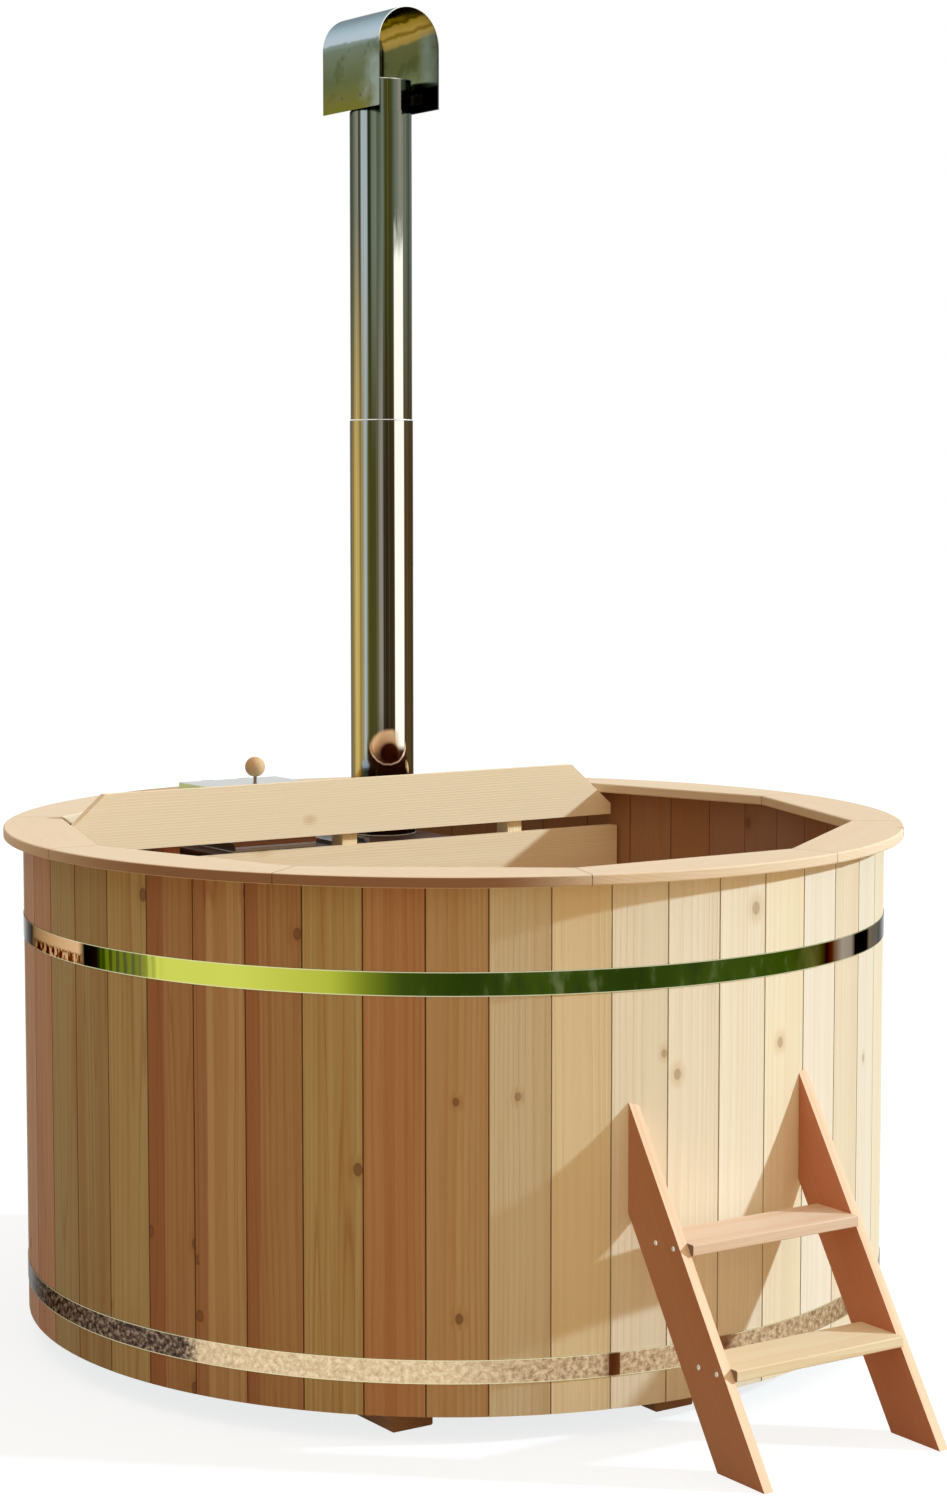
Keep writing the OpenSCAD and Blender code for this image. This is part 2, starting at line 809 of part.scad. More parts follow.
// Folded lid with two hinge knuckles at its back edge
module hatch_lid() {
    color("lightsteelblue") {
        difference() {
            union() {
                translate([hatch_x - lid_w / 2, lid_front, lid_top_z - lid_skirt])
                    cube([lid_w, lid_d, lid_skirt]);
                for (side = [-1, 1])
                    knuckle(hatch_x + side * hinge_at, hinge_pin_d + 2 * pin_gap)
                        translate([0, -hinge_set - 0.5, -lid_web / 2])
                            cube([knuckle_w, hinge_set + 0.5, lid_web]);
            }
            translate([hatch_x - lid_w / 2 + lid_t, lid_front + lid_t,
                       lid_top_z - lid_skirt - cut])
                cube([lid_w - 2 * lid_t, lid_d - 2 * lid_t, lid_skirt - lid_t + cut]);
            translate([hatch_x, knob_y, lid_top_z - lid_t - cut])
                cylinder(d = stem_d, h = lid_t + 2 * cut);
        }
    }
}

// Bracket from the neck's back to the hinge, with two knuckles of its own
module hinge_bracket() {
    from_y = neck_y + neck_w / 2;
    reach = hinge_y + bracket_t / 2 - from_y;
    color("silver") for (side = [-1, 1]) {
        x = hatch_x + side * (hinge_at - knuckle_w - knuckle_gap);
        knuckle(x, hinge_pin_d)
            translate([0, -bracket_t / 2, bracket_z - hinge_z])
                cube([knuckle_w, bracket_t, hinge_z - bracket_z]);
        translate([x - knuckle_w / 2, from_y, bracket_z])
            cube([knuckle_w, reach, bracket_t]);
    }
}

// Pin through all four knuckles
module hinge_pin() {
    half = hinge_at + knuckle_w / 2 + pin_end;
    color("gray") translate([hatch_x - half, hinge_y, hinge_z]) rotate([0, 90, 0])
        cylinder(d = hinge_pin_d, h = 2 * half, $fn = 48);
}

// Stem through the lid, with a washer on top and a nut below
module lid_stem() {
    color("silver") translate([hatch_x, knob_y, lid_top_z]) {
        below = lid_t + stem_nut_h;
        translate([0, 0, -below]) cylinder(d = stem_d, h = stem_h + below);
        translate([0, 0, -below]) cylinder(d = stem_d + 5, h = stem_nut_h, $fn = 6);
        cylinder(d = stem_d + 8, h = 1.5);
    }
}

// Turned wooden ball with a flat foot, bored for the stem
module lid_knob() {
    color("burlywood") translate([hatch_x, knob_y, knob_z]) difference() {
        sphere(d = knob_d);
        translate([-knob_d, -knob_d, -2 * knob_d - knob_d / 2 + knob_foot])
            cube(2 * knob_d);
        translate([0, 0, -knob_d])
            cylinder(d = stem_d, h = lid_top_z + stem_h - knob_z + knob_d);
    }
}

// ---------- Air slide ----------

// Flat plate with a turned-up tab, drawn back to leave the inlet open
module air_slide() {
    color("gainsboro") translate([slide_x - slide_w / 2, slide_y + slide_travel,
                                  plate_top + slide_lift]) {
        cube([slide_w, slide_l, slide_t]);
        translate([(slide_w - slide_tab_w) / 2, slide_l - slide_t, 0])
            cube([slide_tab_w, slide_t, slide_tab_h]);
    }
}

// Two folded rails that hold the slide down on the plate
module air_slide_rails() {
    run = slide_travel + slide_l;
    inner = slide_w / 2 + rail_gap;
    lip_z = slide_t + 2 * slide_lift;
    color("gray") for (side = [0, 1])
        translate([slide_x, slide_y, plate_top]) mirror([side, 0, 0]) {
            translate([inner, 0, 0]) cube([rail_w, run, rail_h]);
            translate([inner - rail_lip, 0, lip_z]) cube([rail_lip, run, rail_h - lip_z]);
        }
}

// ---------- Chimney ----------

// Collar welded on the top plate, which the lower pipe stands in
module chimney_collar() {
    color("silver") translate([chimney_x, chimney_y, plate_top])
        tube(pipe_r + seat_gap + collar_wall, collar_wall, collar_h);
}

// Lower pipe, standing on the top plate inside the collar
module chimney_lower_pipe() {
    color("silver") translate([chimney_x, chimney_y, plate_top])
        tube(pipe_r, pipe_wall, pipe_joint_z - plate_top);
}

// Upper pipe, slipped into the lower one
module chimney_upper_pipe() {
    color("silver") translate([chimney_x, chimney_y, pipe_joint_z - pipe_plug])
        tube(upper_r, pipe_wall, pipe_top_z - pipe_joint_z + pipe_plug);
}

// Sleeve of the hood, slipped into the upper pipe
module hood_sleeve() {
    color("silver") translate([chimney_x, chimney_y, pipe_top_z - pipe_plug])
        tube(sleeve_r, pipe_wall, pipe_plug + sleeve_rise);
}

// ---------- Chimney hood ----------

// Arch outline: straight sides under a half circle, carried down past its foot
module hood_arch(r, below) {
    translate([-r, -below]) square([2 * r, hood_side_h + below]);
    translate([0, hood_side_h]) circle(r, $fn = 96);
}

module rivet_holes(d) {
    for (y = [-rivet_spread, rivet_spread])
        translate([chimney_x - hood_w, chimney_y + y, rivet_z]) rotate([0, 90, 0])
            cylinder(d = d, h = 2 * hood_w, $fn = 24);
}

// Bent sheet, open at both ends and underneath
module hood() {
    color("silver") difference() {
        translate([chimney_x, chimney_y + hood_l / 2, pipe_top_z]) rotate([90, 0, 0])
            linear_extrude(hood_l) difference() {
                hood_arch(hood_r, 0);
                hood_arch(hood_r - hood_t, cut);
            }
        rivet_holes(rivet_d);
    }
}

// Strip inside each side of the hood, held off the sleeve by a block
module hood_brackets() {
    inner = hood_r - hood_t;
    color("gray") for (side = [0, 1])
        translate([chimney_x, chimney_y, rivet_z]) mirror([side, 0, 0]) difference() {
            union() {
                translate([inner - hood_bracket_t, -bracket_l / 2, -bracket_h / 2])
                    cube([hood_bracket_t, bracket_l, bracket_h]);
                translate([sleeve_r / 2, -hood_block_l / 2, -bracket_h / 2])
                    cube([inner - hood_bracket_t / 2 - sleeve_r / 2, hood_block_l, bracket_h]);
            }
            translate([0, 0, -bracket_h]) cylinder(r = sleeve_r, h = 2 * bracket_h);
            for (y = [-rivet_spread, rivet_spread])
                translate([0, y, 0]) rotate([0, 90, 0])
                    cylinder(d = rivet_d, h = hood_w, $fn = 24);
        }
}

// Rivets with domed heads outside the hood
module hood_rivets() {
    shank = hood_t + hood_bracket_t;
    color("gray") for (side = [0, 1], y = [-rivet_spread, rivet_spread])
        translate([chimney_x, chimney_y + y, rivet_z]) mirror([side, 0, 0])
            translate([hood_r, 0, 0]) rotate([0, 90, 0]) {
                translate([0, 0, -shank]) cylinder(d = rivet_d, h = shank + 1, $fn = 24);
                intersection() {
                    translate([0, 0, -rivet_head_d / 4]) sphere(d = rivet_head_d, $fn = 32);
                    cylinder(d = rivet_head_d, h = rivet_head_d / 2);
                }
            }
}

// ---------- Ladder ----------

function ladder_front(z) = -ladder_reach + z * rake_run;

// Side board: a level foot, a slope and an end that fits the round wall
module ladder_side(x) {
    front_z = (ladder_in + ladder_reach) / rake_run;
    back_z = (ladder_in + ladder_reach - ladder_foot) / rake_run;
    color("sandybrown") difference() {
        side_profile(x, ladder_side_t) polygon([
            [-ladder_reach, 0], [-ladder_reach + ladder_foot, 0],
            [ladder_in, back_z], [ladder_in, front_z]]);
        cylinder(r = tub_r + seat_gap, h = front_z + cut, $fn = ring_fn);
        ladder_screw_shanks();
    }
}

module ladder_side_left() { ladder_side(ladder_left - ladder_side_t); }
module ladder_side_right() { ladder_side(ladder_right); }

// Step number i between the side boards, its long edges rounded
module ladder_step(i) {
    z = step_zs[i];
    color("peachpuff") difference() {
        translate([ladder_left, ladder_front(z) - step_nose, z - step_t])
            bar_x(ladder_w, step_d, step_t, step_edge);
        ladder_screw_shanks();
    }
}

module ladder_step_lower() { ladder_step(0); }
module ladder_step_upper() { ladder_step(1); }

// Runs its children at each screw place, with +Z pointing into the step
module at_ladder_screws() {
    for (z = step_zs, y = ladder_screw_at, side = [0, 1])
        translate([ladder_x, ladder_front(z) - step_nose + y, z - step_t / 2])
            mirror([side, 0, 0]) translate([-ladder_w / 2 - ladder_side_t, 0, 0])
                rotate([0, 90, 0]) children();
}

module ladder_screw_shanks() {
    at_ladder_screws() translate([0, 0, -cut])
        cylinder(d = ladder_screw_d, h = ladder_screw_l + cut, $fn = 24);
}

module ladder_screws() {
    color("silver") at_ladder_screws() {
        cylinder(d = ladder_screw_d, h = ladder_screw_l, $fn = 24);
        translate([0, 0, -1]) cylinder(d = ladder_screw_head_d, h = 1, $fn = 24);
    }
}

// ---------- Benches ----------

// Slat number j of seat number i, cut to the sector and to the wall
module seat_slat(i, j) {
    low = seat_in + j * (slat_w + slat_gap);
    half = wall_in * tan(seat_step / 2);
    far = 2 * wall_in;
    rotate([0, 0, seat_first + (i + 0.5) * seat_step]) intersection() {
        translate([low, -half, seat_top - slat_t]) bar_y(slat_w, 2 * half, slat_t, slat_edge);
        translate([0, 0, seat_top - slat_t]) linear_extrude(slat_t) polygon([
            [seat_joint / 2 / sin(seat_step / 2), 0],
            polar(far, seat_step / 2) + [0, -seat_joint / 2],
            polar(far, -seat_step / 2) + [0, seat_joint / 2]]);
        cylinder(r = wall_in - seat_gap, h = seat_top, $fn = ring_fn);
    }
}

module seat_slats() {
    color("burlywood") for (i = [0:seat_count - 1], j = [0:slat_count - 1]) seat_slat(i, j);
}

// Bearer under each seat joint, from the wall to its leg on the floor
module seat_bearers() {
    bearer_z = seat_top - slat_t - bearer_h;
    color("tan") for (i = [0:seat_count])
        rotate([0, 0, seat_first + i * seat_step]) intersection() {
            union() {
                translate([bearer_in, -bearer_w / 2, bearer_z])
                    cube([wall_in, bearer_w, bearer_h]);
                translate([bearer_in, -bearer_w / 2, floor_top])
                    cube([bearer_w, bearer_w, bearer_z - floor_top + cut]);
            }
            cylinder(r = wall_in - seat_gap, h = seat_top, $fn = ring_fn);
        }
}

// ---------- Drain ----------

// Turns its children from +Z to +Y and puts them on the drain's axis
module on_drain_axis(y) {
    translate([0, y, drain_z]) rotate([-90, 0, 0]) children();
}

// Pipe through the wall with its flange, a ball housing, a hexagonal outlet
// with a socket, and the boss and stem that carry the lever, with a nut above it
module drain_valve() {
    inner_y = wall_in + drain_flat - drain_flange_t - drain_inner_l;
    color("goldenrod") difference() {
        union() {
            on_drain_axis(inner_y) cylinder(r = drain_r, h = valve_end - inner_y);
            on_drain_axis(tub_r - drain_flat) cylinder(d = drain_flange_d, h = drain_flange_t);
            on_drain_axis(valve_y) sphere(d = valve_ball_d);
            on_drain_axis(valve_end - valve_hex_l)
                cylinder(r = valve_hex_r, h = valve_hex_l, $fn = 6);
            translate([0, valve_y, drain_z]) {
                cylinder(d = valve_boss_d, h = lever_z - drain_z - seat_gap);
                cylinder(d = valve_stem_d, h = lever_z - drain_z + 2 * lever_t);
                translate([0, 0, lever_z - drain_z + lever_t + seat_gap])
                    cylinder(d = valve_nut_d, h = valve_nut_t, $fn = 6);
            }
        }
        on_drain_axis(inner_y - cut)
            cylinder(d = drain_bore_d, h = valve_end - inner_y + 2 * cut);
        on_drain_axis(valve_end - outlet_l) cylinder(r = outlet_r, h = outlet_l + cut);
    }
}

// Ring nut that clamps the pipe against the inside of the wall
module drain_nut() {
    color("goldenrod") on_drain_axis(wall_in + drain_flat - drain_flange_t) difference() {
        cylinder(d = drain_flange_d, h = drain_flange_t);
        translate([0, 0, -cut]) cylinder(r = drain_r, h = drain_flange_t + 2 * cut);
    }
}

// Flat lever that turns about the valve's stem, across the pipe when shut
module drain_lever() {
    color("firebrick") translate([0, valve_y, lever_z]) difference() {
        union() {
            cylinder(d = lever_eye_d, h = lever_t);
            translate([-lever_l, -lever_w / 2, 0]) cube([lever_l, lever_w, lever_t]);
            translate([-lever_l, 0, 0]) cylinder(d = lever_w, h = lever_t);
        }
        translate([0, 0, -cut])
            cylinder(d = valve_stem_d + 2 * pin_gap, h = lever_t + 2 * cut);
    }
}

// ---------- Drawing ----------

staves();
floor_boards();
beam_left();
beam_middle();
beam_right();
for (i = [1:rim_board_count])
    rim_board(i);
upper_hoop();
lower_hoop();
hoop_lugs();
hoop_bolts();
for (i = [1:guard_board_count])
    guard_board(i);
guard_post_left();
guard_post_middle();
guard_post_right();
guard_screws();
stove_shell();
stove_feet();
stove_top_plate();
fire_grate();
ash_pan();
flue_baffle();
hatch_neck();
hatch_lid();
hinge_bracket();
hinge_pin();
lid_stem();
lid_knob();
air_slide();
air_slide_rails();
chimney_collar();
chimney_lower_pipe();
chimney_upper_pipe();
hood_sleeve();
hood();
hood_brackets();
hood_rivets();
ladder_side_left();
ladder_side_right();
ladder_step_lower();
ladder_step_upper();
ladder_screws();
seat_slats();
seat_bearers();
drain_valve();
drain_nut();
drain_lever();
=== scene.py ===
"""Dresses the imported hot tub: spruce boards, mirror steel, stove plate and brass, on a pale floor."""
import math

import bmesh
import bpy
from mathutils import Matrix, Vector


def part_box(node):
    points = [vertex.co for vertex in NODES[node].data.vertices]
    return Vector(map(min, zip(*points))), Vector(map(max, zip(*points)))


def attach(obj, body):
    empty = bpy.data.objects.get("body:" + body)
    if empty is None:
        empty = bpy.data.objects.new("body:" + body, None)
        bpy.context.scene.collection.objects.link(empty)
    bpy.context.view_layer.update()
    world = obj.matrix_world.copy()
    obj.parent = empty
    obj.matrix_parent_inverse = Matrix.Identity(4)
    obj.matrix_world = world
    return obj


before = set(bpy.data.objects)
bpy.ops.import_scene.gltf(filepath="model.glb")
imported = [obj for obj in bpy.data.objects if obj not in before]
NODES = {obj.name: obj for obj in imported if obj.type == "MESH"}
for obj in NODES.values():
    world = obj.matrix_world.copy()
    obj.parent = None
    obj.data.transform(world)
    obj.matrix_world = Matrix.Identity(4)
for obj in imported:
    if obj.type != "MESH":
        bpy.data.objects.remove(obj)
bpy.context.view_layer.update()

X, Y, Z = range(3)
UP = Vector((0.0, 0.0, 1.0))
BACK = Vector((0.0, 1.0, 0.0))

# Sizes of the CAD source that the finishes and the small pieces follow, in metres and radians
STAVES = 49
TUB_R = 0.900
WALL_IN = 0.858
RIM_BOARDS = 10
FLOOR_BOARDS = 13
FLOOR_GROOVE = 0.0102
GUARD_BOARDS = 6
SEAT_STEP = math.radians(36)
SEAT_PITCH = 0.120
LADDER_RAKE = math.radians(57.3)
HOOP_HALF = 0.0225
UPPER_HOOP_Z = 0.8545
LOWER_HOOP_Z = 0.135
LUG_TURN = math.radians(57)
PLATE_TOP = 0.950
LID_TOP = 1.090
KNOB = (-0.152, 0.580)
CHIMNEY = Vector((0.222, 0.640))
PIPE_R = 0.073
UPPER_PIPE_R = 0.0712
PIPE_JOINT_Z = 1.908
PIPE_TOP_Z = 2.605
SLEEVE_TOP_Z = 2.676
HOOD_R = 0.080
HOOD_SIDE = 0.144
HOOD_ENDS = (0.5185, 0.7615)


def rgb(red, green, blue):
    """A colour written as it looks on a screen, 0 to 255, as the linear colour that a shader takes."""
    def linear(value):
        value /= 255
        return value / 12.92 if value <= 0.04045 else ((value + 0.055) / 1.055) ** 2.4
    return (linear(red), linear(green), linear(blue), 1.0)


# ---------- Shader writing ----------

class Signal:
    """The output of a shader node. Arithmetic on it adds Math nodes to its finish."""

    def __init__(self, finish, socket):
        self.finish, self.socket = finish, socket

    def calc(self, operation, *values):
        return self.finish.node("Math", {"operation": operation}, dict(enumerate(values)))

    def __add__(self, other):
        return self.calc("ADD", self, other)

    __radd__ = __add__

    def __sub__(self, other):
        return self.calc("SUBTRACT", self, other)

    def __rsub__(self, other):
        return self.calc("SUBTRACT", other, self)

    def __mul__(self, other):
        return self.calc("MULTIPLY", self, other)

    __rmul__ = __mul__

    def __truediv__(self, other):
        return self.calc("DIVIDE", self, other)

    def __pow__(self, other):
        return self.calc("POWER", self, other)

    def __abs__(self):
        return self.calc("ABSOLUTE", self)

    def floor(self):
        return self.calc("FLOOR", self)

    def fract(self):
        return self.calc("FRACT", self)

    def root(self):
        return self.calc("SQRT", self)

    def above(self, limit):
        return self.calc("GREATER_THAN", self, limit)

    def largest(self, other):
        return self.calc("MAXIMUM", self, other)

    def wrap(self, period):
        return self.calc("FLOORED_MODULO", self, period)

    def fade(self, start, end, low=0.0, high=1.0):
        """Smooth change from low at start to high at end."""
        return self.finish.node("MapRange", {"interpolation_type": "SMOOTHSTEP"},
                                {"Value": self, "From Min": start, "From Max": end,
                                 "To Min": low, "To Max": high})


class Tree:
    """A node tree under construction."""

    def __init__(self, tree):
        self.tree = tree

    def link(self, signal, socket):
        self.tree.links.new(signal.socket, socket)

    def node(self, kind, settings=None, inputs=None, output=0):
        """Adds one node: its settings first, then the values or links of its sockets."""
        made = self.tree.nodes.new("ShaderNode" + kind)
        for key, value in (settings or {}).items():
            if key == "stops":
                self._write_stops(made.color_ramp, value)
            else:
                setattr(made, key, value)
        for key, value in (inputs or {}).items():
            if isinstance(value, Signal):
                self.tree.links.new(value.socket, made.inputs[key])
            else:
                made.inputs[key].default_value = value
        return Signal(self, made.outputs[output])

    @staticmethod
    def _write_stops(ramp, stops):
        while len(ramp.elements) > 1:
            ramp.elements.remove(ramp.elements[-1])
        for i, (place, colour) in enumerate(stops):
            element = ramp.elements[0] if i == 0 else ramp.elements.new(place)
            element.position = place
            element.color = colour

    def mix(self, share, first, second, blend="MIX"):
        return self.node("Mix", {"data_type": "RGBA", "blend_type": blend},
                         {0: share, 6: first, 7: second}, 2)

    def tint(self, colour, glaze):
        return self.mix(1.0, colour, glaze, "MULTIPLY")

    def coats(self, colour, *coats):
        """Lays coats over a colour, the last one on top. Each is the share that it covers and its colour."""
        for share, coat in coats:
            colour = self.mix(share, colour, coat)
        return colour

    def ramp(self, value, stops):
        return self.node("ValToRGB", {"stops": stops}, {"Fac": value})

    def vector(self, x, y, z):
        return self.node("CombineXYZ", None, {0: x, 1: y, 2: z})

    def split(self, vector):
        return [self.node("SeparateXYZ", None, {0: vector}, i) for i in range(3)]

    def place(self):
        """Position on the object, in metres."""
        return self.node("TexCoord", None, None, "Object")

    def facing(self, axis):
        """How far the surface faces along an axis, from -1 to 1."""
        return self.split(self.node("TexCoord", None, None, "Normal"))[axis]

    def noise(self, vector, scale=1.0, detail=2.0, rough=0.5):
        return self.node("TexNoise", None, {"Vector": vector, "Scale": scale, "Detail": detail,
                                            "Roughness": rough})

    def luck(self, seed):
        """Three random numbers that belong to one seed."""
        return self.split(self.node("TexWhiteNoise", {"noise_dimensions": "1D"}, {"W": seed}, "Color"))


class Finish(Tree):
    """A material under construction around its Principled shader."""

    def __init__(self, name, **constants):
        self.material = bpy.data.materials.new(name)
        self.material.use_nodes = True
        super().__init__(self.material.node_tree)
        self.shader = self.tree.nodes["Principled BSDF"]
        for key, value in constants.items():
            self.input(key).default_value = value

    def input(self, key):
        return self.shader.inputs[key.replace("_", " ").title().replace("Ior", "IOR")]

    def use(self, **links):
        for key, value in links.items():
            self.link(value, self.input(key))
        return self

    def rim_light(self, level):
        """How much a mirror brightens at grazing angles, where plain metal turns white."""
        self.input("specular_tint").default_value = (level, level, level, 1.0)
        return self

    def bump(self, height, distance, strength=1.0):
        self.use(normal=self.node("Bump", None, {"Height": height, "Distance": distance,
                                                 "Strength": strength}))
        return self


def angle_of(x, y):
    """Angle round the Z axis, in radians."""
    return y.calc("ARCTAN2", y, x)


def in_degrees(angle):
    """An angle in radians as 0 to 360 degrees."""
    return angle.wrap(math.tau) / math.tau * 360


# ---------- Wood ----------

CREAM = rgb(251, 243, 223)
PALE = rgb(249, 238, 210)
STRAW = rgb(247, 233, 196)
HONEY = rgb(246, 226, 184)
OLIVE_WOOD = rgb(210, 192, 142)
MOSSY_WOOD = rgb(194, 178, 128)
TAN = rgb(214, 184, 140)
RUST_WOOD = rgb(210, 166, 124)
UMBER_WOOD = rgb(198, 160, 116)
LATE_WOOD = rgb(222, 190, 152)
RUDDY = rgb(238, 206, 174)
HEART = rgb(164, 104, 68)
KNOT = rgb(138, 94, 64)
KNOT_RIM = rgb(96, 58, 36)
FAINT_KNOT = rgb(206, 152, 98)
SEAM = rgb(104, 66, 38)
# Painted shade: glaze that darkens the wall's inner face
INSIDE_SHADE = rgb(184, 146, 128)
# Painted light: glaze that darkens the sunlit staves right of the front
SUNLIT_DIMMING = rgb(240, 242, 255)
# Painted shade: glaze over the darker stave tones left of the front
SHADE_SIDE = rgb(248, 244, 240)
END_GRAIN = rgb(176, 126, 84)
# Ends of the steps: end grain, darkened further as painted shadow in the gap by the ladder's sides
STEP_END_GRAIN_AND_SHADE = rgb(92, 54, 32)
# Painted shade on the rim's outer edge
RIM_EDGE_SHADE = rgb(140, 86, 46)
# Painted shade: reddish tones on the broad faces of the ladder's sides
LADDER_SIDE_SHADES = (("left", rgb(182, 100, 50)), ("right", rgb(184, 78, 22)))
STAVE_TONES = [(0.0, CREAM), (0.30, PALE), (0.60, STRAW), (1.0, HONEY)]
# Tones of the shaded staves left of the front: partly the boards' own, partly painted shade
SHADE_SIDE_STAVE_TONES = [(0.0, OLIVE_WOOD), (0.18, OLIVE_WOOD), (0.22, MOSSY_WOOD), (0.38, MOSSY_WOOD),
                    (0.42, TAN), (0.58, TAN), (0.62, RUST_WOOD), (0.78, RUST_WOOD), (0.82, UMBER_WOOD),
                    (1.0, UMBER_WOOD)]
BOARD_TONES = [(0.0, HONEY), (0.5, PALE), (1.0, STRAW)]
# Beams: darker tones, painted shade under the tub
SHADED_BEAM_TONES = [(0.0, rgb(202, 158, 118)), (1.0, RUST_WOOD)]
LADDER_TONES = [(0.0, rgb(254, 228, 198)), (1.0, rgb(252, 224, 192))]
STEP_TONES = {"lower": [(0.0, rgb(246, 232, 198))], "upper": [(0.0, rgb(238, 215, 192))]}
GUARD_TONES = [(0.0, rgb(255, 237, 203)), (0.5, rgb(255, 235, 199)), (1.0, rgb(255, 236, 201))]
RIM_TONES = [(0.0, rgb(244, 225, 196)), (0.5, rgb(242, 220, 188)), (1.0, rgb(244, 223, 193))]
# The left guard post's dark tone is painted shade
SHADED_POST_TONES = [(0.0, rgb(164, 104, 74))]
KNOB_TONES = [(0.0, rgb(226, 196, 156)), (1.0, rgb(222, 186, 142))]

# A board's seed gives it its own tone and grain. Seeds rise by 1 from board to board, and by
# SEEDS_A_ROW from one row of seat slats to the next.
STAVE_SEED = 211362 * STAVES
STRIP_SEED = 173099 * STAVES
RIM_SEED, FLOOR_SEED, BEAM_SEED = 60, 130, 200.5
GUARD_SEED, POST_SEED = 300.5, 320.5
LADDER_SEED, STEP_SEED = 400.5, 410.5
SEAT_SEED, BEARER_SEED, KNOB_SEED = 500, 540, 600.5
SEEDS_A_ROW = 11
GRAIN_DEPTH = 0.0003
GUARD_KNOT = (-0.106, 1.021)
GUARD_KNOT_R = 0.014


def round_wall(finish):
    """Stave frame: across the stave, out from the wall, up it, the stave's seed, and the share across it."""
    x, y, z = finish.split(finish.place())
    turn = (angle_of(x, y) + math.pi / 2) * (STAVES / math.tau)
    number = turn.floor().wrap(STAVES)
    share = turn.fract()
    out = (x * x + y * y).root() - WALL_IN
    return (share - 0.5) * (math.tau * TUB_R / STAVES), out, z, number + STAVE_SEED, share


def straight(along_axis, across_axis, seed):
    """Board frame for a board that runs along one of the axes."""
    depth_axis = X + Y + Z - along_axis - across_axis

    def frame_of(finish):
        parts = finish.split(finish.place())
        return parts[across_axis], parts[depth_axis], parts[along_axis], seed, None
    return frame_of


def board_rows(pitch, first, seed):
    """Frame of parallel boards along Y, one beside the other in X."""
    def frame_of(finish):
        x, y, z = finish.split(finish.place())
        row = (x - first) / pitch
        return x, z, y, row.floor() + seed, row.fract()
    return frame_of


def round_boards(step, turned, seed, pitch=None):
    """Frame of straight boards set round the tub's axis, each square to its own middle line.
    With a pitch, each place holds boards one behind the other."""
    def frame_of(finish):
        x, y, z = finish.split(finish.place())
        sectors = (angle_of(x, y) - turned) / step + 0.5
        sector = sectors.floor()
        angle = sector * step + turned
        cos, sin = angle.calc("COSINE", angle), angle.calc("SINE", angle)
        out = x * cos + y * sin
        side = y * cos - x * sin
        number = sector.wrap(math.tau / step) + seed
        if pitch:
            number = number + (out / pitch).floor() * SEEDS_A_ROW
        return out, z, side, number, sectors.fract()
    return frame_of


def raked(seed):
    """Frame of a ladder side: the grain follows its slope in the YZ plane."""
    def frame_of(finish):
        x, y, z = finish.split(finish.place())
        cos, sin = math.cos(LADDER_RAKE), math.sin(LADDER_RAKE)
        return y * sin - z * cos, x, y * cos + z * sin, seed, None
    return frame_of


def shade_side_staves(number):
    """1 on the staves left of the front, which stand in the sun's shade: their darker tones are partly the
    boards' own and partly painted shade. 0 on the rest.
    """
    return number.fade(45.7, 43.6) * number.fade(25, 32)


def sun_dimmed_staves(number):
    """1 on the staves right of the front, whose tone is painted darker to hold back the strong sun there, and
    0 on the rest.
    """
    return number.fade(1.0, 2.8) * number.fade(14, 12)


def rim_edge_shade(finish):
    """Share of the painted shade on the rim's upright outer edge, strongest left of the front."""
    x, y, z = finish.split(finish.place())
    degrees = in_degrees(angle_of(x, y))
    upright = abs(finish.facing(Z)).fade(0.8, 0.4)
    return upright * degrees.fade(257, 241) * degrees.fade(160, 204) * 0.85


def knots(finish, across, along, shift, share):
    """Masks of the few small knots: their middle, their dark rim and the grain that bends round them."""
    point = finish.vector(across * 9 + shift, along * 6.5 + shift, 0.0)
    flat, inputs = {"voronoi_dimensions": "2D"}, {"Vector": point, "Scale": 1.0}
    distance = finish.node("TexVoronoi", flat, inputs)
    pick = finish.split(finish.node("TexVoronoi", flat, inputs, "Color"))
    near = distance / (pick[1] * 0.035 + 0.045)
    chosen = pick[0].above(1 - share)
    rim = near.fade(0.55, 0.95) * near.fade(1.25, 1.0)
    return near.fade(1.0, 0.7) * chosen, rim * chosen, near.fade(3.4, 0.8) * chosen


def faint_knot(along, across):
    """Share of the one pale knot that shows on the top guard board."""
    near = (((along - GUARD_KNOT[0]) * 0.7) ** 2 + (across - GUARD_KNOT[1]) ** 2).root() / GUARD_KNOT_R
    return near.fade(1.3, 0.2) * 0.34


def heartwood(finish, across, along, shift, number, share, mask):
    """Ruddy heartwood: a strip down one side of some staves, broad soft streaks and a few thin veins, mostly
    on the shaded staves left of the front, where they also serve as painted shade.
    """
    again = finish.luck(number + (STRIP_SEED - STAVE_SEED))
    side = again[0].above(0.35)
    waver = finish.noise(finish.vector(0.0, 0.0, along * 1.6 + shift), 1.0, 2.0) - 0.5
    edge = side * share + (1 - side) * (1 - share) + waver * 0.16
    chosen = mask.calc("LESS_THAN", again[2], mask * 0.46)
    strip = (edge - (again[1] * 0.36 + 0.04)).fade(0.015, -0.015) * chosen
    soft = finish.noise(finish.vector(across * 15, shift, along * 0.22), 1.0, 1.0)
    vein = finish.noise(finish.vector(across * 26, shift, along * 0.5), 1.0, 1.0) - 0.5
    veins = abs(vein).fade(0.020, 0.0) * again[0].above(0.5)
    return strip * 0.62 + soft.fade(0.54, 0.70) * mask * 0.28 + veins * (mask * 0.4 + 0.05)


